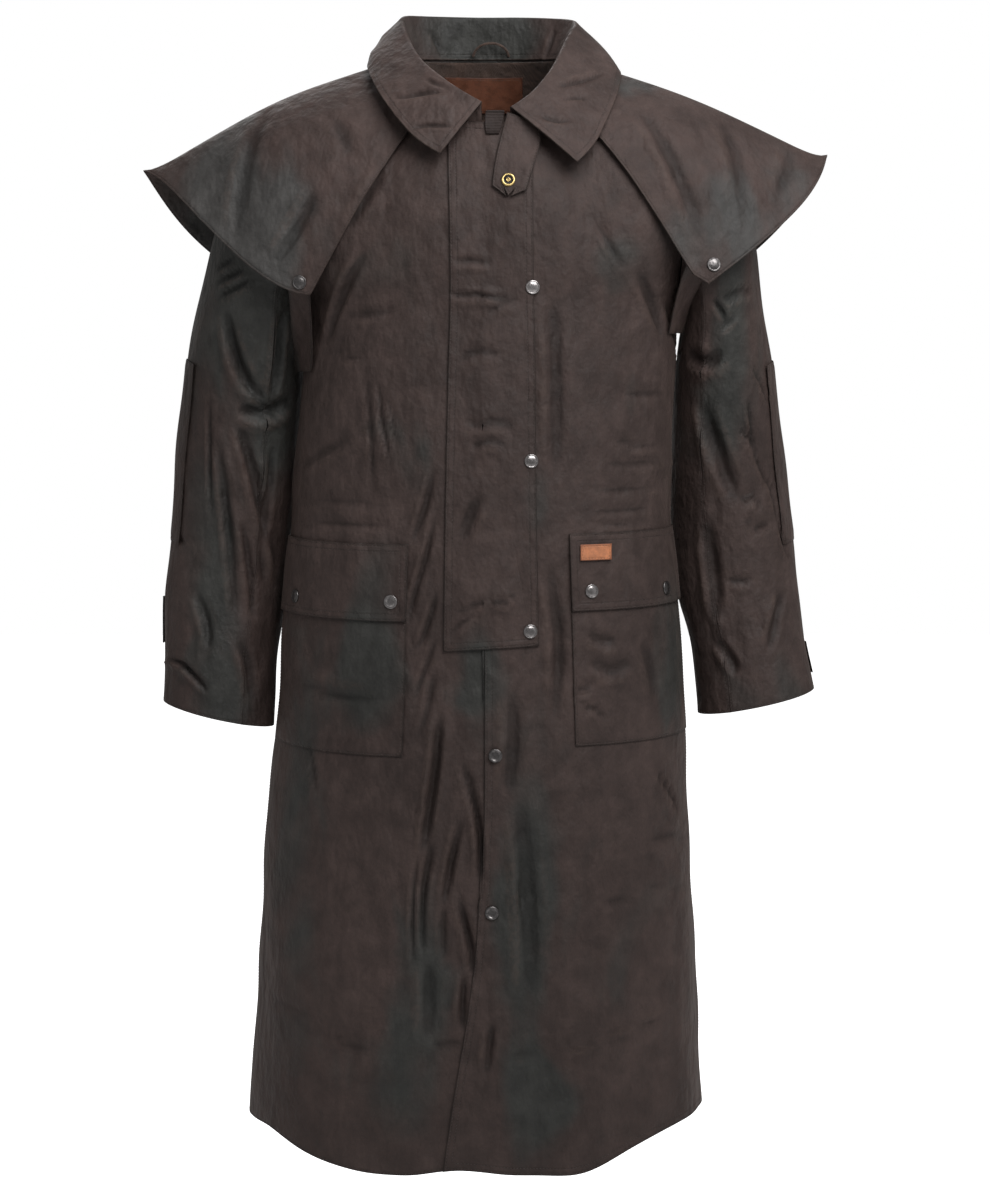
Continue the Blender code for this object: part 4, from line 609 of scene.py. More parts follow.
def effect_group(name, colours, levels):
    """A new node group that makes a colour, a roughness and a height from its inputs."""
    group = bpy.data.node_groups.new(name, "ShaderNodeTree")
    sockets = [(socket, "INPUT", "NodeSocketColor") for socket in colours]
    sockets += [(socket, "INPUT", "NodeSocketFloat") for socket in levels]
    sockets += [("Color", "OUTPUT", "NodeSocketColor"), ("Roughness", "OUTPUT", "NodeSocketFloat"),
                ("Height", "OUTPUT", "NodeSocketFloat")]
    for socket, way, kind in sockets:
        group.interface.new_socket(name=socket, in_out=way, socket_type=kind)
    return group, new_node(group, "NodeGroupInput").outputs, new_node(group, "NodeGroupOutput").inputs


# Tones of the waxed cloth, from broad clouds down to single threads. Columns: noise scale, detail, roughness,
# distortion, squeeze, noise levels at which the tone starts and ends, darkest and lightest tone
WAX_TONES = {
    "cloud": (3.1, 2.0, 0.55, 0.0, 1.0, 0.30, 0.70, 0.85, 1.15),
    "mottle": (24.0, 3.0, 0.6, 0.6, 1.0, 0.32, 0.68, 0.86, 1.13),
    "fine": (46.0, 5.0, 0.7, 0.0, 1.0, 0.25, 0.75, 0.82, 1.18),
    "streak": (60.0, 3.0, 0.55, 0.0, 0.10, 0.3, 0.7, 0.95, 1.05),
    "thread": (900.0, 2.0, 0.55, 0.0, 0.4, 0.3, 0.7, 0.93, 1.07),
}
FOLDED_HEIGHT = 0.0085
CRUMPLED_HEIGHT = 0.0048
PINCHED_HEIGHT = 0.00065
WEAVE_HEIGHT = 0.00018
SEAM_DEPTH = 0.00024
SEAM_WIDTH = 0.0009
TURNED_HEIGHT = 0.00020
PUCKER_HEIGHT = 0.0008
SEAM_SHADE = (0.014, 0.012, 0.011, 1.0)


def waxed_group():
    """Mottled waxed cotton: its colour with painted shade in creases, grooves and along edges, its roughness and
    fine relief.
    """
    known = bpy.data.node_groups.get("waxed_cotton")
    if known:
        return known
    group, given, out = effect_group("waxed_cotton", ("Main", "Patch", "Worn"), (
        "Patch share", "Base roughness", "Crumple", "Edge wear", "Edge light", "First row", "Second row"))
    place = object_place(group)
    edge, relief, stain = (attribute(group, name) for name in ("edge", "relief", "stain"))
    plus, less, times = (partial(maths, group, kind) for kind in ("ADD", "SUBTRACT", "MULTIPLY"))
    step, grain, mix = partial(ramp, group), partial(noise, group, place), partial(mixed, group)

    # Patches where the wax lies thicker
    broad = plus(grain(8.5, 3.0, 0.55, 0.5, 0.55), less(times(stain, 0.30), 0.05))
    low = less(0.62, times(given["Patch share"], 0.24))
    patch = step(broad, low, plus(low, 0.22))
    colour = mix(patch, given["Main"], given["Patch"])
    tones = {name: step(grain(*row[:5]), *row[5:]) for name, row in WAX_TONES.items()}
    colour = mix(1.0, colour, reduce(times, tones.values()), "MULTIPLY")

    # Painted shade in the crease troughs, then rubbed crests and edges of worn wax
    colour = mix(1.0, colour, step(relief, -0.9, 0.0, 0.60, 1.0), "MULTIPLY")
    scuffed = grain(120.0, 4.0, 0.7)
    crest = times(step(relief, 0.10, 0.60), step(scuffed, 0.38, 0.62, 0.04, 0.20))
    rubbed = times(step(edge, 0.0022, 0.0006), times(step(scuffed, 0.30, 0.60, 0.3, 0.9), given["Edge wear"]))
    colour = mix(maths(group, "MAXIMUM", crest, rubbed), colour, given["Worn"])

    # Rows of sewing with painted shade in their grooves, and a painted shadow line along the edge
    sewn = plus(*(bump_profile(group, edge, given[row], SEAM_WIDTH, 1.0)
                  for row in ("First row", "Second row")), clamp=True)
    colour = mix(times(sewn, 0.16), colour, SEAM_SHADE)
    # Painted shadow: the cloth darkens within about a millimetre of every edge, for the shade where a piece lies
    # on another
    colour = mix(1.0, colour, step(edge, 0.0007, 0.0014, given["Edge light"], 1.0), "MULTIPLY")
    group.links.new(colour, out["Color"])

    wax = plus(given["Base roughness"], times(patch, -0.05))
    rough = plus(wax, step(tones["fine"], 0.82, 1.18, -0.05, 0.05))
    group.links.new(plus(rough, times(crest, 0.10)), out["Roughness"])

    folded = maths(group, "ABSOLUTE", less(grain(15.0, 2.0, 0.5, 0.3, 0.4), 0.5))
    crumple = plus(times(folded, FOLDED_HEIGHT), times(grain(60.0, 2.0, 0.5, 0.0, 0.6), CRUMPLED_HEIGHT))
    pinch = times(grain(260.0, 2.0, 0.5), PINCHED_HEIGHT)
    height = plus(times(plus(crumple, pinch), given["Crumple"]), times(grain(1300.0, 1.0), WEAVE_HEIGHT))
    turned = step(edge, 0.0030, 0.0006, 0.0, TURNED_HEIGHT)
    pucker = times(times(grain(150.0, 1.0), step(edge, 0.0130, 0.0040)), PUCKER_HEIGHT)
    height = plus(plus(height, times(sewn, -SEAM_DEPTH)), plus(turned, pucker))
    group.links.new(height, out["Height"])
    return group


def leather_group():
    """Vegetable-tanned leather with pores, a pressed line and burnt edges."""
    known = bpy.data.node_groups.get("tanned_leather")
    if known:
        return known
    group, given, out = effect_group("tanned_leather", ("Main", "Burnt"), ())
    place = object_place(group)
    edge = attribute(group, "edge")
    cells = new_node(group, "ShaderNodeTexVoronoi", feature="DISTANCE_TO_EDGE")
    group.links.new(place, cells.inputs["Vector"])
    cells.inputs["Scale"].default_value = 900.0
    pores = cells.outputs["Distance"]
    cloud = noise(group, place, 95.0, 4.0, 0.65)
    light = maths(group, "MULTIPLY", ramp(group, cloud, 0.3, 0.7, 0.72, 1.18),
                  ramp(group, pores, 0.0, 0.12, 0.80, 1.05))
    tone = mixed(group, 1.0, given["Main"], light, "MULTIPLY")
    group.links.new(mixed(group, ramp(group, edge, 0.0016, 0.0003), tone, given["Burnt"]), out["Color"])
    group.links.new(ramp(group, cloud, 0.3, 0.7, 0.46, 0.66), out["Roughness"])
    press = bump_profile(group, edge, 0.0024, 0.0007, -0.00030)
    raised = maths(group, "MULTIPLY", ramp(group, pores, 0.0, 0.2), 0.00010)
    group.links.new(maths(group, "ADD", press, raised), out["Height"])
    return group


def plate_group():
    """Plated metal: its colour under a darker film, its scratches and its roughness."""
    known = bpy.data.node_groups.get("worn_plate")
    if known:
        return known
    group, given, out = effect_group("worn_plate", ("Main", "Film colour"), ("Film", "Base roughness"))
    place = object_place(group)
    scratch = noise(group, place, 2400.0, 2.0, squeeze=0.15)
    cloud = noise(group, place, 260.0, 3.0, 0.6)
    film = maths(group, "MULTIPLY", ramp(group, cloud, 0.42, 0.68), given["Film"])
    group.links.new(mixed(group, film, given["Main"], given["Film colour"]), out["Color"])
    rough = maths(group, "ADD", given["Base roughness"], ramp(group, scratch, 0.3, 0.7, -0.05, 0.08))
    group.links.new(maths(group, "ADD", rough, maths(group, "MULTIPLY", film, 0.25)), out["Roughness"])
    group.links.new(maths(group, "MULTIPLY", scratch, 0.00002), out["Height"])
    return group


def surface(name):
    """A new material with its tree and its Principled shader."""
    material = bpy.data.materials.new(name)
    material.use_nodes = True
    tree = material.node_tree
    return material, tree, tree.nodes["Principled BSDF"]


def set_relief(tree, shader, height):
    bump = new_node(tree, "ShaderNodeBump")
    bump.inputs["Strength"].default_value = 1.0
    bump.inputs["Distance"].default_value = 1.0
    tree.links.new(height, bump.inputs["Height"])
    tree.links.new(bump.outputs[0], shader.inputs["Normal"])


def finished(name, group, colours, levels):
    """A material that a node group colours, roughens and raises, with the group's values."""
    material, tree, shader = surface(name)
    effect = new_node(tree, "ShaderNodeGroup", node_tree=group)
    for socket, (colour, shares) in colours.items():
        effect.inputs[socket].default_value = [*(np.array(colour[:3]) * shares).tolist(), 1.0]
    for socket, value in levels.items():
        effect.inputs[socket].default_value = value
    tree.links.new(effect.outputs["Color"], shader.inputs["Base Color"])
    tree.links.new(effect.outputs["Roughness"], shader.inputs["Roughness"])
    set_relief(tree, shader, effect.outputs["Height"])
    return material, shader


# Waxed cloths. Columns: main and patch colour, brightness, and the group's levels in the order of WAX_LEVELS.
# The brightness makes lighter and darker copies of the one brown cloth: painted light on the sleeves, cape and
# collar, painted shade on the collar's stand end and on the rims
WAX_LEVELS = ("Patch share", "Base roughness", "Crumple", "Edge wear", "Edge light")
WAXED = {
    "oilskin": ("brown", "green_grey", 1.0, 0.40, 0.66, 1.0, 0.05, 0.45),
    "oilskin_trim": ("brown", "green_grey", 1.0, 0.40, 0.66, 1.0, 0.2, 0.42),
    "oilskin_sleeve": ("brown", "green_grey", 1.05, 0.55, 0.62, 1.1, 0.05, 0.85),
    "oilskin_cape": ("brown", "cape_grey", 1.08, 0.50, 0.66, 0.9, 0.3, 0.60),
    "oilskin_collar": ("brown", "green_grey", 1.15, 0.45, 0.64, 1.0, 0.45, 0.60),
    "oilskin_dark": ("brown", "green_grey", 0.45, 0.50, 0.66, 0.8, 0.0, 1.00),
    "oilskin_rim": ("brown", "green_grey", 0.40, 0.30, 0.75, 0.3, 0.0, 1.00),
}
NO_ROW = -1.0
# Plated metals. Columns: colour, brightness, roughness, film. The dimmer copies of the one nickel are painted
# shade: the same snap metal made darker on some snaps
PLATES = {
    "nickel": ("nickel", 1.0, 0.20, 0.45),
    "nickel_dim": ("nickel", 0.58, 0.22, 0.6),
    "nickel_dark": ("nickel", 0.30, 0.30, 0.7),
    "nickel_inner": ("nickel", 0.22, 0.40, 0.6),
    "recess": ("nickel", 0.10, 0.45, 0.8),
    "brass_plate": ("brass", 1.0, 0.26, 0.35),
}
FILM_DARKNESS = 0.35
LEATHERS = {"leather_dark": "neck_leather", "leather_tan": "pocket_leather"}
BURNT_SHARES = (0.45, 0.40, 0.40)


def waxed(name, kind, rows):
    """Waxed cotton with sewing grooves at the rows' distances from the edge."""
    colours = bpy.context.scene.duster_colours
    main, patch, bright, *levels = WAXED[kind]
    first, second = (*rows, NO_ROW, NO_ROW)[:2]
    material, shader = finished(
        name, waxed_group(),
        {"Main": (getattr(colours, main), bright), "Patch": (getattr(colours, patch), bright),
         "Worn": (colours.worn, bright)},
        {**dict(zip(WAX_LEVELS, levels)), "First row": first, "Second row": second})
    shader.inputs["Specular IOR Level"].default_value = 0.22
    shader.inputs["Sheen Weight"].default_value = 0.04
    shader.inputs["Sheen Roughness"].default_value = 0.45
    shader.inputs["Sheen Tint"].default_value = (0.9, 0.7, 0.6, 1.0)
    return material


def plated(name):
    """Plated metal of one brightness."""
    kind, bright, rough, film = PLATES[name]
    colour = getattr(bpy.context.scene.duster_colours, kind)
    material, shader = finished(
        name, plate_group(), {"Main": (colour, bright), "Film colour": (colour, bright * FILM_DARKNESS)},
        {"Film": film, "Base roughness": rough})
    shader.inputs["Metallic"].default_value = 1.0
    return material


def leather(name):
    """Leather of one of the two labels."""
    colour = getattr(bpy.context.scene.duster_colours, LEATHERS[name])
    return finished(name, leather_group(), {"Main": (colour, 1.0), "Burnt": (colour, BURNT_SHARES)}, {})[0]


def twill(name):
    """Brushed cotton lining with a fine diagonal rib."""
    material, tree, shader = surface(name)
    place = object_place(tree)
    rib = new_node(tree, "ShaderNodeTexWave", wave_type="BANDS", bands_direction="DIAGONAL")
    tree.links.new(place, rib.inputs["Vector"])
    rib.inputs["Scale"].default_value = 330.0
    rib.inputs["Distortion"].default_value = 1.4
    rib.inputs["Detail Scale"].default_value = 3.0
    cloud = noise(tree, place, 30.0, 4.0)
    light = maths(tree, "MULTIPLY", ramp(tree, cloud, 0.3, 0.7, 0.75, 1.3),
                  ramp(tree, rib.outputs["Fac"], 0.1, 0.9, 0.82, 1.15))
    colour = list(bpy.context.scene.duster_colours.lining)
    tree.links.new(mixed(tree, 1.0, colour, light, "MULTIPLY"), shader.inputs["Base Color"])
    tree.links.new(ramp(tree, cloud, 0.3, 0.7, 0.72, 0.86), shader.inputs["Roughness"])
    height = maths(tree, "ADD", maths(tree, "MULTIPLY", rib.outputs["Fac"], 0.00012),
                   maths(tree, "MULTIPLY", noise(tree, place, 70.0, 3.0), 0.0040))
    set_relief(tree, shader, height)
    shader.inputs["Sheen Weight"].default_value = 0.15
    return material


def twisted(name):
    """Twisted polyester thread."""
    material, tree, shader = surface(name)
    ply = noise(tree, object_place(tree), 1800.0, 2.0)
    colour = list(bpy.context.scene.duster_colours.thread)
    tree.links.new(mixed(tree, 1.0, colour, ramp(tree, ply, 0.3, 0.7, 0.75, 1.3), "MULTIPLY"),
                   shader.inputs["Base Color"])
    tree.links.new(ramp(tree, ply, 0.3, 0.7, 0.48, 0.62), shader.inputs["Roughness"])
    set_relief(tree, shader, maths(tree, "MULTIPLY", ply, 0.00008))
    return material


def finish_of(name, rows=()):
    """The material of one finish, made the first time that it is asked for."""
    if name in WAXED:
        full = "_".join([name, *(f"{round(row * 10000):02d}" for row in rows)])
        return bpy.data.materials.get(full) or waxed(full, name, rows)
    known = bpy.data.materials.get(name)
    if known:
        return known
    if name in PLATES:
        return plated(name)
    if name in LEATHERS:
        return leather(name)
    return {"lining_twill": twill, "thread": twisted}[name](name)


# Cloth

def outwards(shows, place):
    """Direction in which the side that shows faces, near a point."""
    x, y, z = place
    if shows == "round":
        return Vector((x, y, 0.0))
    if shows == "front":
        return Vector((0.0, -1.0, 0.0))
    if shows == "dome":
        return Vector((x, y, z + DOME_LOW))
    down = min(max((SLEEVE_TOP[2] - z) / SLEEVE_REACH, 0.0), 1.0)
    middle = math.copysign(SLEEVE_TOP[0] + SLEEVE_SPREAD * down, x)
    return Vector((x - middle, y - SLEEVE_TOP[1], 0.0))


def shows_score(shows, faces):
    """How far a side of a wall faces the way that shows."""
    if shows == "fold":
        top = max(face.calc_center_median().z for face in faces)
        return sum(face.normal.z * face.calc_area() for face in faces
                   if face.calc_center_median().z > top - FOLD_TOP)
    return sum(face.normal.dot(outwards(shows, face.calc_center_median())) * face.calc_area()
               for face in faces)


def joined_parts(bm):
    """Lists of faces that hang together."""
    left = set(bm.faces)
    parts = []
    while left:
        part = []
        queue = [left.pop()]
        while queue:
            face = queue.pop()
            part.append(face)
            for edge in face.edges:
                for other in edge.link_faces:
                    if other in left:
                        left.discard(other)
                        queue.append(other)
        parts.append(part)
    return sorted(parts, key=len, reverse=True)


def showing_side(node, shows, wall):
    """The side of a cloth node that shows, as one sheet of quads."""
    bm = bmesh.new()
    bm.from_mesh(NODES[node].data)
    bmesh.ops.remove_doubles(bm, verts=bm.verts, dist=MERGE)
    bm.normal_update()
    if shows != "whole":
        rim = [face for face in bm.faces
               if min(edge.calc_length() for edge in face.edges) < wall * RIM_SHARE]
        bmesh.ops.delete(bm, geom=rim, context="FACES")
        sides = joined_parts(bm)
        if len(sides) != 2:
            raise RuntimeError(f"{node}: its wall has {len(sides)} sides")
        shown = set(max(sides, key=lambda part: shows_score(shows, part)))
        bmesh.ops.delete(bm, geom=[face for face in bm.faces if face not in shown], context="FACES")
    bmesh.ops.join_triangles(bm, faces=bm.faces, cmp_seam=False, cmp_sharp=False, cmp_uvs=False,
                             cmp_vcols=False, cmp_materials=False, angle_face_threshold=math.pi,
                             angle_shape_threshold=math.pi)
    sharp = bm.verts.layers.float.new("crease_vert")
    limit = math.radians(COLLAR_TURN if node == "collar" else CORNER_TURN)
    for vertex in bm.verts:
        rims = [edge.other_vert(vertex).co - vertex.co for edge in vertex.link_edges if edge.is_boundary]
        if len(rims) == 2 and rims[0].angle(-rims[1]) > limit:
            vertex[sharp] = 1.0
    return bm


def linked(name, mesh):
    piece = bpy.data.objects.new(name, mesh)
    bpy.context.scene.collection.objects.link(piece)
    return piece


def finer(bm, name, levels):
    """An object whose mesh is the sheet, divided smoothly."""
    mesh = bpy.data.meshes.new(name)
    bm.to_mesh(mesh)
    bm.free()
    piece = linked(name, mesh)
    divide = piece.modifiers.new("Divide", "SUBSURF")
    divide.levels = levels
    divide.render_levels = levels
    divide.boundary_smooth = "PRESERVE_CORNERS"
    seen = piece.evaluated_get(bpy.context.evaluated_depsgraph_get())
    piece.data = bpy.data.meshes.new_from_object(seen)
    piece.modifiers.clear()
    bpy.data.meshes.remove(mesh)
    piece.data.name = name
    return piece


def points_of(mesh, what="co"):
    """Every point's place, or its normal, as rows of three."""
    found = np.zeros(len(mesh.vertices) * 3)
    mesh.vertices.foreach_get(what, found)
    return found.reshape(-1, 3)


def normals_of(mesh):
    return points_of(mesh, "normal")


def ends_of(mesh):
    """The two points of every edge."""
    ends = np.zeros(len(mesh.edges) * 2, int)
    mesh.edges.foreach_get("vertices", ends)
    return ends.reshape(-1, 2)


def place_points(mesh, points):
    mesh.vertices.foreach_set("co", points.astype(np.float32).ravel())
    mesh.update()


def edge_distances(mesh):
    """Distance of every point from the sheet's nearest edge, up to a reach."""
    counts = np.zeros(len(mesh.edges), int)
    loop_edges = np.zeros(len(mesh.loops), int)
    mesh.loops.foreach_get("edge_index", loop_edges)
    np.add.at(counts, loop_edges, 1)
    rims = ends_of(mesh)[counts == 1]
    points = points_of(mesh)
    if not len(rims):
        return np.full(len(points), EDGE_REACH)
    tree = KDTree(len(rims) * EDGE_SPLITS)
    for row, (first, last) in enumerate(rims):
        for step in range(EDGE_SPLITS):
            share = step / EDGE_SPLITS
            tree.insert(points[first] * (1 - share) + points[last] * share, row * EDGE_SPLITS + step)
    tree.balance()
    return np.array([min(tree.find(point)[2], EDGE_REACH) for point in points])


def rounded_line(line):
    """A crease's line with its corners cut."""
    for _ in range(LINE_ROUNDS):
        first, last = line[:-1], line[1:]
        cut = np.stack([first * 0.75 + last * 0.25, first * 0.25 + last * 0.75], axis=1).reshape(-1, 3)
        line = np.concatenate([line[:1], cut, line[-1:]])
    return line


def crease_relief(points, normals):
    """How far the creases lift each point, in metres."""
    lifted = np.zeros(len(points))
    for half_width, depth, *line in CREASES:
        line = rounded_line(np.array(line).reshape(-1, 3) / MM)
        half_width = half_width / MM * CREASE_NARROW
        reach = CREASE_REACH * half_width
        near = ((points > line.min(0) - reach) & (points < line.max(0) + reach)).all(axis=1)
        near = np.flatnonzero(near)
        if not len(near):
            continue
        close = points[near]
        best = np.full(len(near), np.inf)
        along = np.zeros(len(near))
        side = np.zeros(len(near))
        lengths = np.linalg.norm(np.diff(line, axis=0), axis=1)
        gone = 0.0
        for start, end, length in zip(line[:-1], line[1:], lengths):
            step = end - start
            share = np.clip(((close - start) @ step) / (length * length), 0, 1)
            offset = close - (start + share[:, None] * step)
            distance = np.linalg.norm(offset, axis=1)
            nearer = distance < best
            best[nearer] = distance[nearer]
            along[nearer] = (gone + share * length)[nearer]
            across = np.cross(step / length, normals[near])
            side[nearer] = (offset * across).sum(axis=1)[nearer]
            gone += length
        ends = np.sin(np.pi * np.clip(along / gone, 0, 1)) ** CREASE_FADE
        off = best / half_width
        bank = np.where(side > 0, *BANKS)
        profile = bank * np.exp(-((off - BANK_PLACE) / BANK_WIDTH) ** 2) - np.exp(-off ** 2)
        lifted[near] += depth / MM * ends * profile
    return lifted


def cloth_waves(points):
    """Soft unevenness of worn cloth, from minus one to one or so, longer down the coat than across it."""
    draw = np.random.default_rng(WAVE_SEED)
    waves = np.zeros(len(points))
    for _ in range(WAVE_COUNT):
        across = 2 * math.pi / draw.uniform(*WAVES_ACROSS)
        down = 2 * math.pi / draw.uniform(*WAVES_DOWN)
        turn = draw.uniform(0, 2 * math.pi)
        pull = np.array([across * math.cos(turn), across * math.sin(turn), down * draw.choice([-1, 1])])
        waves += np.cos(points @ pull + draw.uniform(0, 2 * math.pi))
    return waves / math.sqrt(WAVE_COUNT)


def calm(points):
    """Share of the waves left: none round the neck and throat, where pieces lie close."""
    share = np.clip((CALM_TOP[1] - points[:, 2]) / (CALM_TOP[1] - CALM_TOP[0]), 0, 1)
    return share * share * (3 - 2 * share)


def outer_tree(names):
    """Search tree of the sides that show of the pieces already made."""
    places = []
    faces = []
    for name in names:
        mesh = bpy.data.objects[name + "_cloth"].data
        start = len(places)
        places += [vertex.co.copy() for vertex in mesh.vertices]
        faces += [tuple(start + corner for corner in face.vertices) for face in mesh.polygons]
    return BVHTree.FromPolygons(places, faces)


def settled(mesh, points, names, gap):
    """Points moved out until they clear the pieces under them."""
    tree = outer_tree(names)
    pushed = np.zeros_like(points)
    for _ in range(SETTLE_ROUNDS):
        for row, point in enumerate(points + pushed):
            place, normal, _, _ = tree.find_nearest(Vector(point), SETTLE_REACH)
            if place is None:
                continue
            rise = (Vector(point) - place).dot(normal)
            sideways = (Vector(point) - place - normal * rise).length
            if rise < gap and sideways < gap:
                pushed[row] += np.array(normal * (gap - rise))
        if not pushed.any():
            break
    first, last = ends_of(mesh).T
    counts = np.bincount(first, minlength=len(points)) + np.bincount(last, minlength=len(points))
    amount = np.linalg.norm(pushed, axis=1)
    smooth = pushed.copy()
    for _ in range(SETTLE_SMOOTH):
        total = np.zeros_like(smooth)
        np.add.at(total, first, smooth[last])
        np.add.at(total, last, smooth[first])
        mean = total / counts[:, None]
        longer = np.linalg.norm(mean, axis=1) > amount
        smooth = np.where(longer[:, None], mean, pushed)
    return points + smooth


def add_attribute(mesh, name, values):
    made = mesh.attributes.new(name, "FLOAT", "POINT")
    made.data.foreach_set("value", values.astype(np.float32))


def stain_shares(points):
    """How strongly each point lies in a stain."""
    share = np.zeros(len(points))
    for *place, strength in STAINS:
        off = (points - np.array(place[:3])) / np.array(place[3:])
        share += strength * np.exp(-(off ** 2).sum(axis=1) ** STAIN_SOFT)
    return np.clip(share, 0, STAIN_FULL)


def special_relief(node, points):
    """Relief that only one piece has."""
    if node == "collar_stand_end":
        return STAND_END_RIDGE * np.sin(points[:, 2] * 2 * math.pi / STAND_END_PITCH)
    return np.zeros(len(points))


def make_cloth(row):
    """One cloth piece on its solid's form, creased, laid clear of what is under it and given its wall."""
    spec = dict(zip(CLOTH_COLUMNS, row))
    node = spec["node"]
    sizes = bpy.context.scene.duster_sizes
    piece = finer(showing_side(node, spec["shows"], spec["wall"]), node + "_cloth", spec["levels"])
    mesh = piece.data
    points = points_of(mesh)
    normals = normals_of(mesh)
    relief = np.zeros(len(points))
    if node not in QUIET:
        relief = crease_relief(points, normals) * sizes.crease_share
        waves = cloth_waves(points) * sizes.wave_height
        lift = relief + (waves * calm(points) if node != "collar" else 0.0)
    else:
        lift = special_relief(node, points)
    points = points + normals * lift[:, None]
    if spec["under"]:
        points = settled(mesh, points, spec["under"], spec["gap"])
    place_points(mesh, points)
    edges = edge_distances(mesh)
    if node in FLAT_SEWN:
        sunk = spec["wall"] * EDGE_SINK * np.clip(1 - edges / EDGE_TAPER, 0, 1)
        place_points(mesh, points - normals_of(mesh) * sunk[:, None])
        thin = piece.vertex_groups.new(name="wall")
        for row in np.flatnonzero(sunk < spec["wall"] * EDGE_SINK):
            thin.add([int(row)], 1 - sunk[row] / spec["wall"], "REPLACE")
    add_attribute(mesh, "edge", edges)
    add_attribute(mesh, "stain", stain_shares(points))
    add_attribute(mesh, "relief", np.clip((relief + special_relief(node, points)) / RELIEF_FULL, -1, 1))
    mesh.shade_smooth()
    mesh.materials.clear()
    mesh.materials.append(finish_of(spec["finish"], SEWN_ROWS.get(node, ())))
    if spec["shows"] != "whole":
        wall = piece.modifiers.new("Wall", "SOLIDIFY")
        wall.thickness = spec["wall"]
        wall.offset = -1.0
        wall.use_even_offset = False
        wall.use_quality_normals = True
        # The wall's rim faces get a darker copy of the cloth: painted shade along the cut edges
        if spec["finish"] in WAXED:
            mesh.materials.append(finish_of("oilskin_rim"))
            wall.material_offset_rim = 1
        if node in FLAT_SEWN:
            wall.vertex_group = "wall"
            wall.thickness_vertex_group = 1 - EDGE_SINK
        weigh = piece.modifiers.new("Shading", "WEIGHTED_NORMAL")
        weigh.keep_sharp = False
    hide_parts(node)
    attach(piece, "root")
    return piece


def make_cloths(rows):
    for row in rows:
        make_cloth(row)
    return {"FINISHED"}


# Sewing

def level_lines(mesh, values, level):
    """Chains of points and normals where the cloth is at one distance from its edge."""
    ends = ends_of(mesh)
    before = values[ends[:, 0]] - level
    after = values[ends[:, 1]] - level
    crossed = before * after < 0
    share = np.where(crossed, before / np.where(crossed, before - after, 1.0), 0.0)[:, None]
    points = points_of(mesh)
    normals = normals_of(mesh)
    places = points[ends[:, 0]] * (1 - share) + points[ends[:, 1]] * share
    facing = normals[ends[:, 0]] * (1 - share) + normals[ends[:, 1]] * share
    links = {}
    for face in mesh.polygons:
        met = [mesh.loops[loop].edge_index for loop in face.loop_indices
               if crossed[mesh.loops[loop].edge_index]]
        if len(met) == 2:
            links.setdefault(met[0], []).append(met[1])
            links.setdefault(met[1], []).append(met[0])
    chains = []
    left = dict(links)
    starts = [edge for edge in links if len(links[edge]) == 1] + list(links)
    for start in starts:
        if start not in left:
            continue
        chain = [start]
        del left[start]
        going = True
        while going:
            onward = [edge for edge in links[chain[-1]] if edge in left]
            going = bool(onward)
            if going:
                chain.append(onward[0])
                del left[onward[0]]
        chains.append((places[chain], facing[chain]))
    return chains


def stitch_places(chain, facing, pitch):
    """Evenly spaced places along a chain, with the line's direction and the cloth's facing."""
    if len(chain) < 4:
        return []
    smooth = chain.copy()
    smooth[1:-1] = (chain[:-2] + chain[1:-1] * 2 + chain[2:]) / 4
    lengths = np.concatenate([[0], np.cumsum(np.linalg.norm(np.diff(smooth, axis=0), axis=1))])
    if lengths[-1] < pitch * 2:
        return []
    at = np.arange(pitch / 2, lengths[-1], pitch)

    def read(where, values):
        return np.stack([np.interp(where, lengths, values[:, axis]) for axis in range(3)], axis=1)

    ahead = read(at + pitch / 4, smooth) - read(at - pitch / 4, smooth)
    return [(read(at, smooth), ahead, read(at, facing))]


def stitch_shape():
    """One stitch: a small spindle along X."""
    bm = bmesh.new()
    bmesh.ops.create_uvsphere(bm, u_segments=4, v_segments=2, radius=1.0)
    bmesh.ops.rotate(bm, verts=bm.verts, matrix=Matrix.Rotation(math.pi / 2, 3, "Y"))
    bm.verts.index_update()
    corners = np.array([vertex.co[:] for vertex in bm.verts])
    faces = np.array([[vertex.index for vertex in face.verts] for face in bm.faces])
    bm.free()
    return corners, faces


def sew(name, nodes):
    """All the stitches on some pieces, as one mesh."""
    sizes = bpy.context.scene.duster_sizes
    corners, faces = stitch_shape()
    halves = np.array([sizes.stitch_length / 2, sizes.thread_width / 2, sizes.thread_width / 2])
    places = []
    for node in nodes:
        mesh = bpy.data.objects[node + "_cloth"].data
        values = np.zeros(len(mesh.vertices), np.float32)
        mesh.attributes["edge"].data.foreach_get("value", values)
        for level in SEWN_ROWS[node]:
            for chain, facing in level_lines(mesh, values.astype(float), level):
                places += stitch_places(chain, facing, sizes.stitch_pitch)
    place, ahead, facing = (np.concatenate(parts) for parts in zip(*places))
    ahead /= np.linalg.norm(ahead, axis=1)[:, None]
    across = np.cross(facing, ahead)
    across /= np.linalg.norm(across, axis=1)[:, None]
    up = np.cross(ahead, across)
    turned = np.stack([ahead, across, up], axis=1)
    body = (corners * halves)[None] @ turned + (place + up * sizes.thread_width * STITCH_SINK)[:, None]
    starts = np.arange(len(place))[:, None, None] * len(corners)
    mesh = bpy.data.meshes.new(name)
    mesh.from_pydata(body.reshape(-1, 3).tolist(), [],
                     (faces[None] + starts).reshape(-1, faces.shape[1]).tolist())
    mesh.shade_smooth()
    mesh.materials.append(finish_of("thread"))
    piece = linked(name, mesh)
    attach(piece, "root")
    return piece


# Snaps

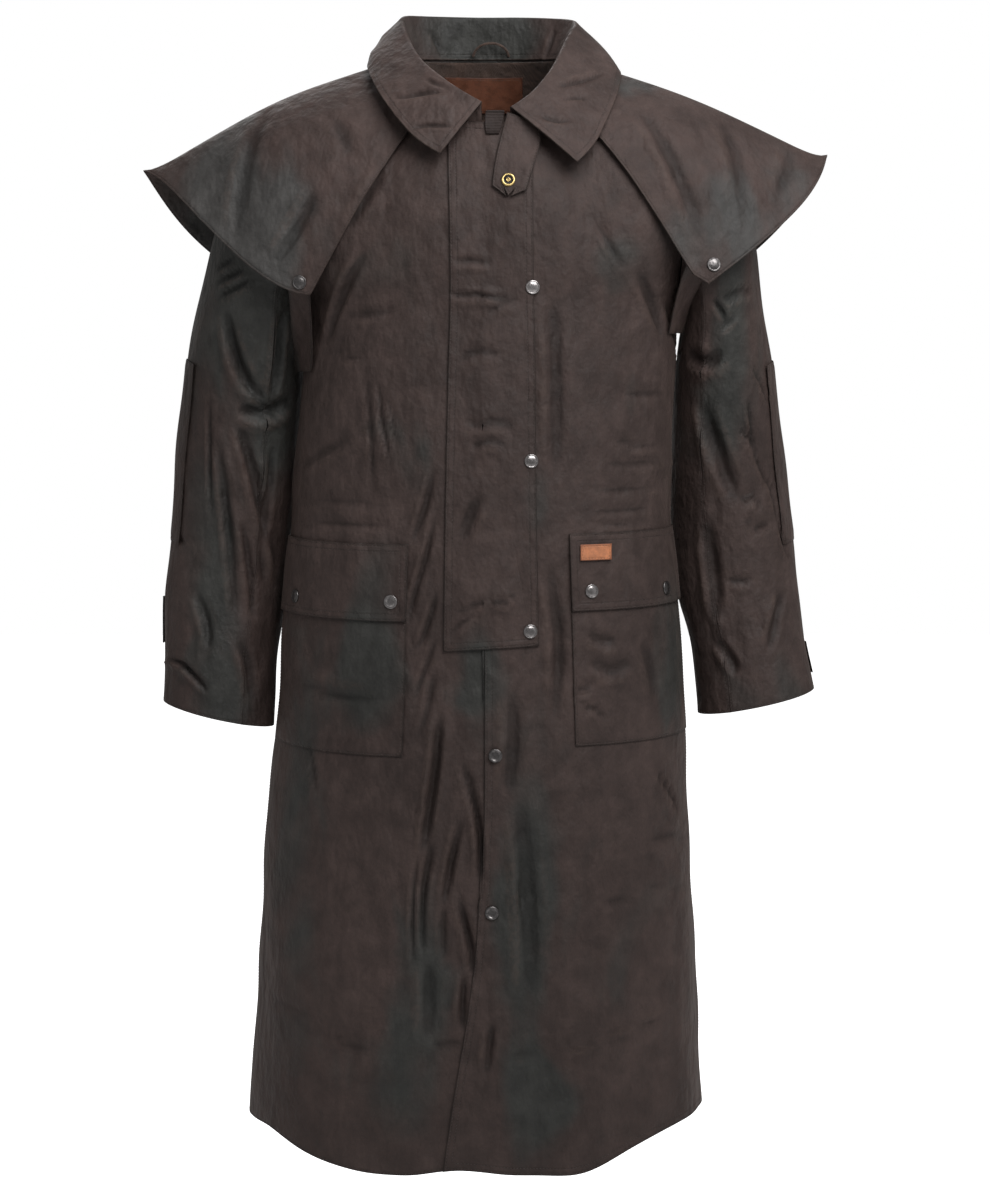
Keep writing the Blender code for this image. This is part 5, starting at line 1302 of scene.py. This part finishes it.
def round_piece(name, profile, radius, place, axis):
    """A profile spun round an axis and set on the cloth."""
    bm = bmesh.new()
    line = [bm.verts.new((share * radius, 0.0, height * radius)) for share, height in profile]
    edges = [bm.edges.new(pair) for pair in zip(line[:-1], line[1:])]
    bmesh.ops.spin(bm, geom=line + edges, cent=(0, 0, 0), axis=(0, 0, 1), angle=2 * math.pi,
                   steps=SNAP_SIDES, use_merge=True)
    bmesh.ops.remove_doubles(bm, verts=bm.verts, dist=MERGE)
    bmesh.ops.recalc_face_normals(bm, faces=bm.faces)
    turn = axis.to_track_quat("Z", "Y").to_matrix().to_4x4()
    bm.transform(Matrix.Translation(place) @ turn)
    mesh = bpy.data.meshes.new(name)
    bm.to_mesh(mesh)
    bm.free()
    mesh.shade_smooth()
    return linked(name, mesh)


def make_snap(node):
    """A snap with its rolled rim, in the place of its solid."""
    under, kind = SNAPS[node]
    profile, metal, hollow_metal, hollow = SNAP_KINDS[kind]
    corners = np.unique(points_of(NODES[node].data).round(6), axis=0)
    middle = corners.mean(0)
    axis = Vector(np.linalg.svd(corners - middle)[2][2])
    tree = outer_tree([under])
    place, normal, _, _ = tree.find_nearest(Vector(middle))
    if axis.dot(normal) < 0:
        axis = -axis
    radius = bpy.context.scene.duster_sizes.snap_radius
    arm = axis.orthogonal().normalized() * radius
    rises = [0.0]
    for step in range(SNAP_PROBES):
        probe = Matrix.Rotation(2 * math.pi * step / SNAP_PROBES, 3, axis) @ arm
        met = tree.ray_cast(place + probe + axis * radius, -axis, radius * 2)[0]
        if met is not None:
            rises.append((met - place).dot(axis))
    seat = place + axis * (max(rises) - SNAP_BED)
    piece = round_piece(node + "_metal", profile, radius, seat, axis)
    piece.data.materials.append(finish_of(metal))
    if hollow_metal:
        piece.data.materials.append(finish_of(hollow_metal))
        for face in piece.data.polygons:
            off = face.center - seat
            share = (off - axis * off.dot(axis)).length / radius
            if hollow[0] < share < hollow[1] and face.normal.dot(axis) > 0:
                face.material_index = 1
    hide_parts(node)
    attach(piece, "root")
    return piece


# Operators

class DUSTER_OT_body(bpy.types.Operator):
    """Make the back and the two fronts."""

    bl_idname = "duster.body"
    bl_label = "Body"

    def execute(self, context):
        return make_cloths(BODY_CLOTHS)


class DUSTER_OT_sleeves(bpy.types.Operator):
    """Make the two-piece sleeves with their elbow patches and cuff tabs."""

    bl_idname = "duster.sleeves"
    bl_label = "Sleeves"

    def execute(self, context):
        return make_cloths(SLEEVE_CLOTHS)


class DUSTER_OT_pockets(bpy.types.Operator):
    """Make the patch pockets and their flaps."""

    bl_idname = "duster.pockets"
    bl_label = "Pockets"

    def execute(self, context):
        return make_cloths(POCKET_CLOTHS)


class DUSTER_OT_closure(bpy.types.Operator):
    """Make the storm flap, the collar's stand end and the throat latch."""

    bl_idname = "duster.closure"
    bl_label = "Closure"

    def execute(self, context):
        return make_cloths(CLOSURE_CLOTHS)


class DUSTER_OT_cape(bpy.types.Operator):
    """Make the shoulder cape and the straps that hold it down."""

    bl_idname = "duster.cape"
    bl_label = "Cape"

    def execute(self, context):
        return make_cloths(CAPE_CLOTHS)


class DUSTER_OT_collar(bpy.types.Operator):
    """Make the turned-down collar."""

    bl_idname = "duster.collar"
    bl_label = "Collar"

    def execute(self, context):
        return make_cloths(COLLAR_CLOTHS)


class DUSTER_OT_neck(bpy.types.Operator):
    """Make the neck facing and the hanger loop."""

    bl_idname = "duster.neck"
    bl_label = "Neck"

    def execute(self, context):
        return make_cloths(NECK_CLOTHS)


class DUSTER_OT_labels(bpy.types.Operator):
    """Make the two bare leather labels."""

    bl_idname = "duster.labels"
    bl_label = "Labels"

    def execute(self, context):
        return make_cloths(LABEL_CLOTHS)


class DUSTER_OT_sewing(bpy.types.Operator):
    """Sew the rows of stitches."""

    bl_idname = "duster.sewing"
    bl_label = "Sewing"

    def execute(self, context):
        for name, nodes in SEWING.items():
            sew(name, nodes)
        return {"FINISHED"}


class DUSTER_OT_snaps(bpy.types.Operator):
    """Make the snaps and the throat ring."""

    bl_idname = "duster.snaps"
    bl_label = "Snaps"

    def execute(self, context):
        for node in SNAPS:
            make_snap(node)
        return {"FINISHED"}


class DUSTER_OT_stage(bpy.types.Operator):
    """Make the pale floor, the soft light and the camera."""

    bl_idname = "duster.stage"
    bl_label = "Stage"

    def execute(self, context):
        make_floor(context.scene)
        make_light(context.scene)
        make_camera(context.scene)
        return {"FINISHED"}


# Stage

def make_floor(scene):
    """Pale floor under the coat."""
    low = CAD_BOX[0].z - scene.duster_stage.floor_drop
    bm = bmesh.new()
    bmesh.ops.create_grid(bm, x_segments=8, y_segments=8, size=FLOOR_HALF)
    bmesh.ops.translate(bm, verts=bm.verts, vec=(0, 0, low))
    mesh = bpy.data.meshes.new("floor")
    bm.to_mesh(mesh)
    bm.free()
    floor = linked("floor", mesh)
    material, tree, shader = surface("pale_paper")
    grain = ramp(tree, noise(tree, object_place(tree), 40.0, 3.0), 0.3, 0.7, 0.985, 1.0)
    tree.links.new(mixed(tree, 1.0, (0.93, 0.93, 0.93, 1.0), grain, "MULTIPLY"), shader.inputs["Base Color"])
    tree.links.new(ramp(tree, grain, 0.98, 1.0, 0.86, 0.92), shader.inputs["Roughness"])
    shader.inputs["Emission Color"].default_value = (1.0, 1.0, 1.0, 1.0)
    tree.links.new(new_node(tree, "ShaderNodeLightPath").outputs["Is Camera Ray"],
                   shader.inputs["Emission Strength"])
    mesh.materials.append(material)


def make_light(scene):
    """Soft light from the front and both sides."""
    stage = scene.duster_stage
    world = bpy.data.worlds.new("pale_surroundings")
    world.use_nodes = True
    sky = world.node_tree.nodes["Background"]
    sky.inputs["Color"].default_value = (1.0, 1.0, 1.0, 1.0)
    seen = new_node(world.node_tree, "ShaderNodeLightPath").outputs["Is Camera Ray"]
    strength = shade(world.node_tree, "ShaderNodeMapRange", seen, 0.0, 1.0, stage.sky, 1.0)
    world.node_tree.links.new(strength.outputs[0], sky.inputs["Strength"])
    scene.world = world
    scene.view_settings.view_transform = "Standard"
    for name, place, aim, width, height, power, share in LIGHTS:
        data = bpy.data.lights.new(name, "AREA")
        data.shape = "RECTANGLE"
        data.size = width
        data.size_y = height
        data.energy = getattr(stage, power) * share
        lamp = bpy.data.objects.new(name, data)
        scene.collection.objects.link(lamp)
        lamp.location = place
        lamp.rotation_euler = (Vector(aim) - Vector(place)).to_track_quat("-Z", "Y").to_euler()


def make_camera(scene):
    """Camera at the photograph's viewing angle."""
    data = bpy.data.cameras.new("camera")
    data.lens = CAMERA_LENS
    data.sensor_width = CAMERA_SENSOR
    camera = bpy.data.objects.new("camera", data)
    camera.location = CAMERA_PLACE
    camera.rotation_euler = (math.radians(CAMERA_TILT), 0.0, 0.0)
    scene.collection.objects.link(camera)
    scene.camera = camera


class DUSTER_PT_panel(bpy.types.Panel):
    """Sizes, colours and steps of the duster coat."""

    bl_label = "Duster coat"
    bl_idname = "DUSTER_PT_panel"
    bl_space_type = "VIEW_3D"
    bl_region_type = "UI"
    bl_category = "Duster"

    def draw(self, context):
        scene = context.scene
        for group in (scene.duster_sizes, scene.duster_colours, scene.duster_stage):
            box = self.layout.box()
            for name in group.bl_rna.properties.keys():
                if name not in ("rna_type", "name"):
                    box.prop(group, name)
        for operator in OPERATORS:
            self.layout.operator(operator.bl_idname)


OPERATORS = (
    DUSTER_OT_body, DUSTER_OT_sleeves, DUSTER_OT_pockets, DUSTER_OT_closure, DUSTER_OT_cape,
    DUSTER_OT_collar, DUSTER_OT_neck, DUSTER_OT_labels, DUSTER_OT_sewing, DUSTER_OT_snaps, DUSTER_OT_stage,
)
CLASSES = (DusterSizes, DusterColours, DusterStage) + OPERATORS + (DUSTER_PT_panel,)


def register():
    for made in CLASSES:
        bpy.utils.register_class(made)
    bpy.types.Scene.duster_sizes = bpy.props.PointerProperty(type=DusterSizes)
    bpy.types.Scene.duster_colours = bpy.props.PointerProperty(type=DusterColours)
    bpy.types.Scene.duster_stage = bpy.props.PointerProperty(type=DusterStage)


def unregister():
    del bpy.types.Scene.duster_stage
    del bpy.types.Scene.duster_colours
    del bpy.types.Scene.duster_sizes
    for made in reversed(CLASSES):
        bpy.utils.unregister_class(made)


def main():
    register()
    bpy.ops.duster.body()
    bpy.ops.duster.sleeves()
    bpy.ops.duster.pockets()
    bpy.ops.duster.closure()
    bpy.ops.duster.cape()
    bpy.ops.duster.collar()
    bpy.ops.duster.neck()
    bpy.ops.duster.labels()
    bpy.ops.duster.sewing()
    bpy.ops.duster.snaps()
    bpy.ops.duster.stage()
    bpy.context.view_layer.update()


if __name__ == "__main__":
    main()
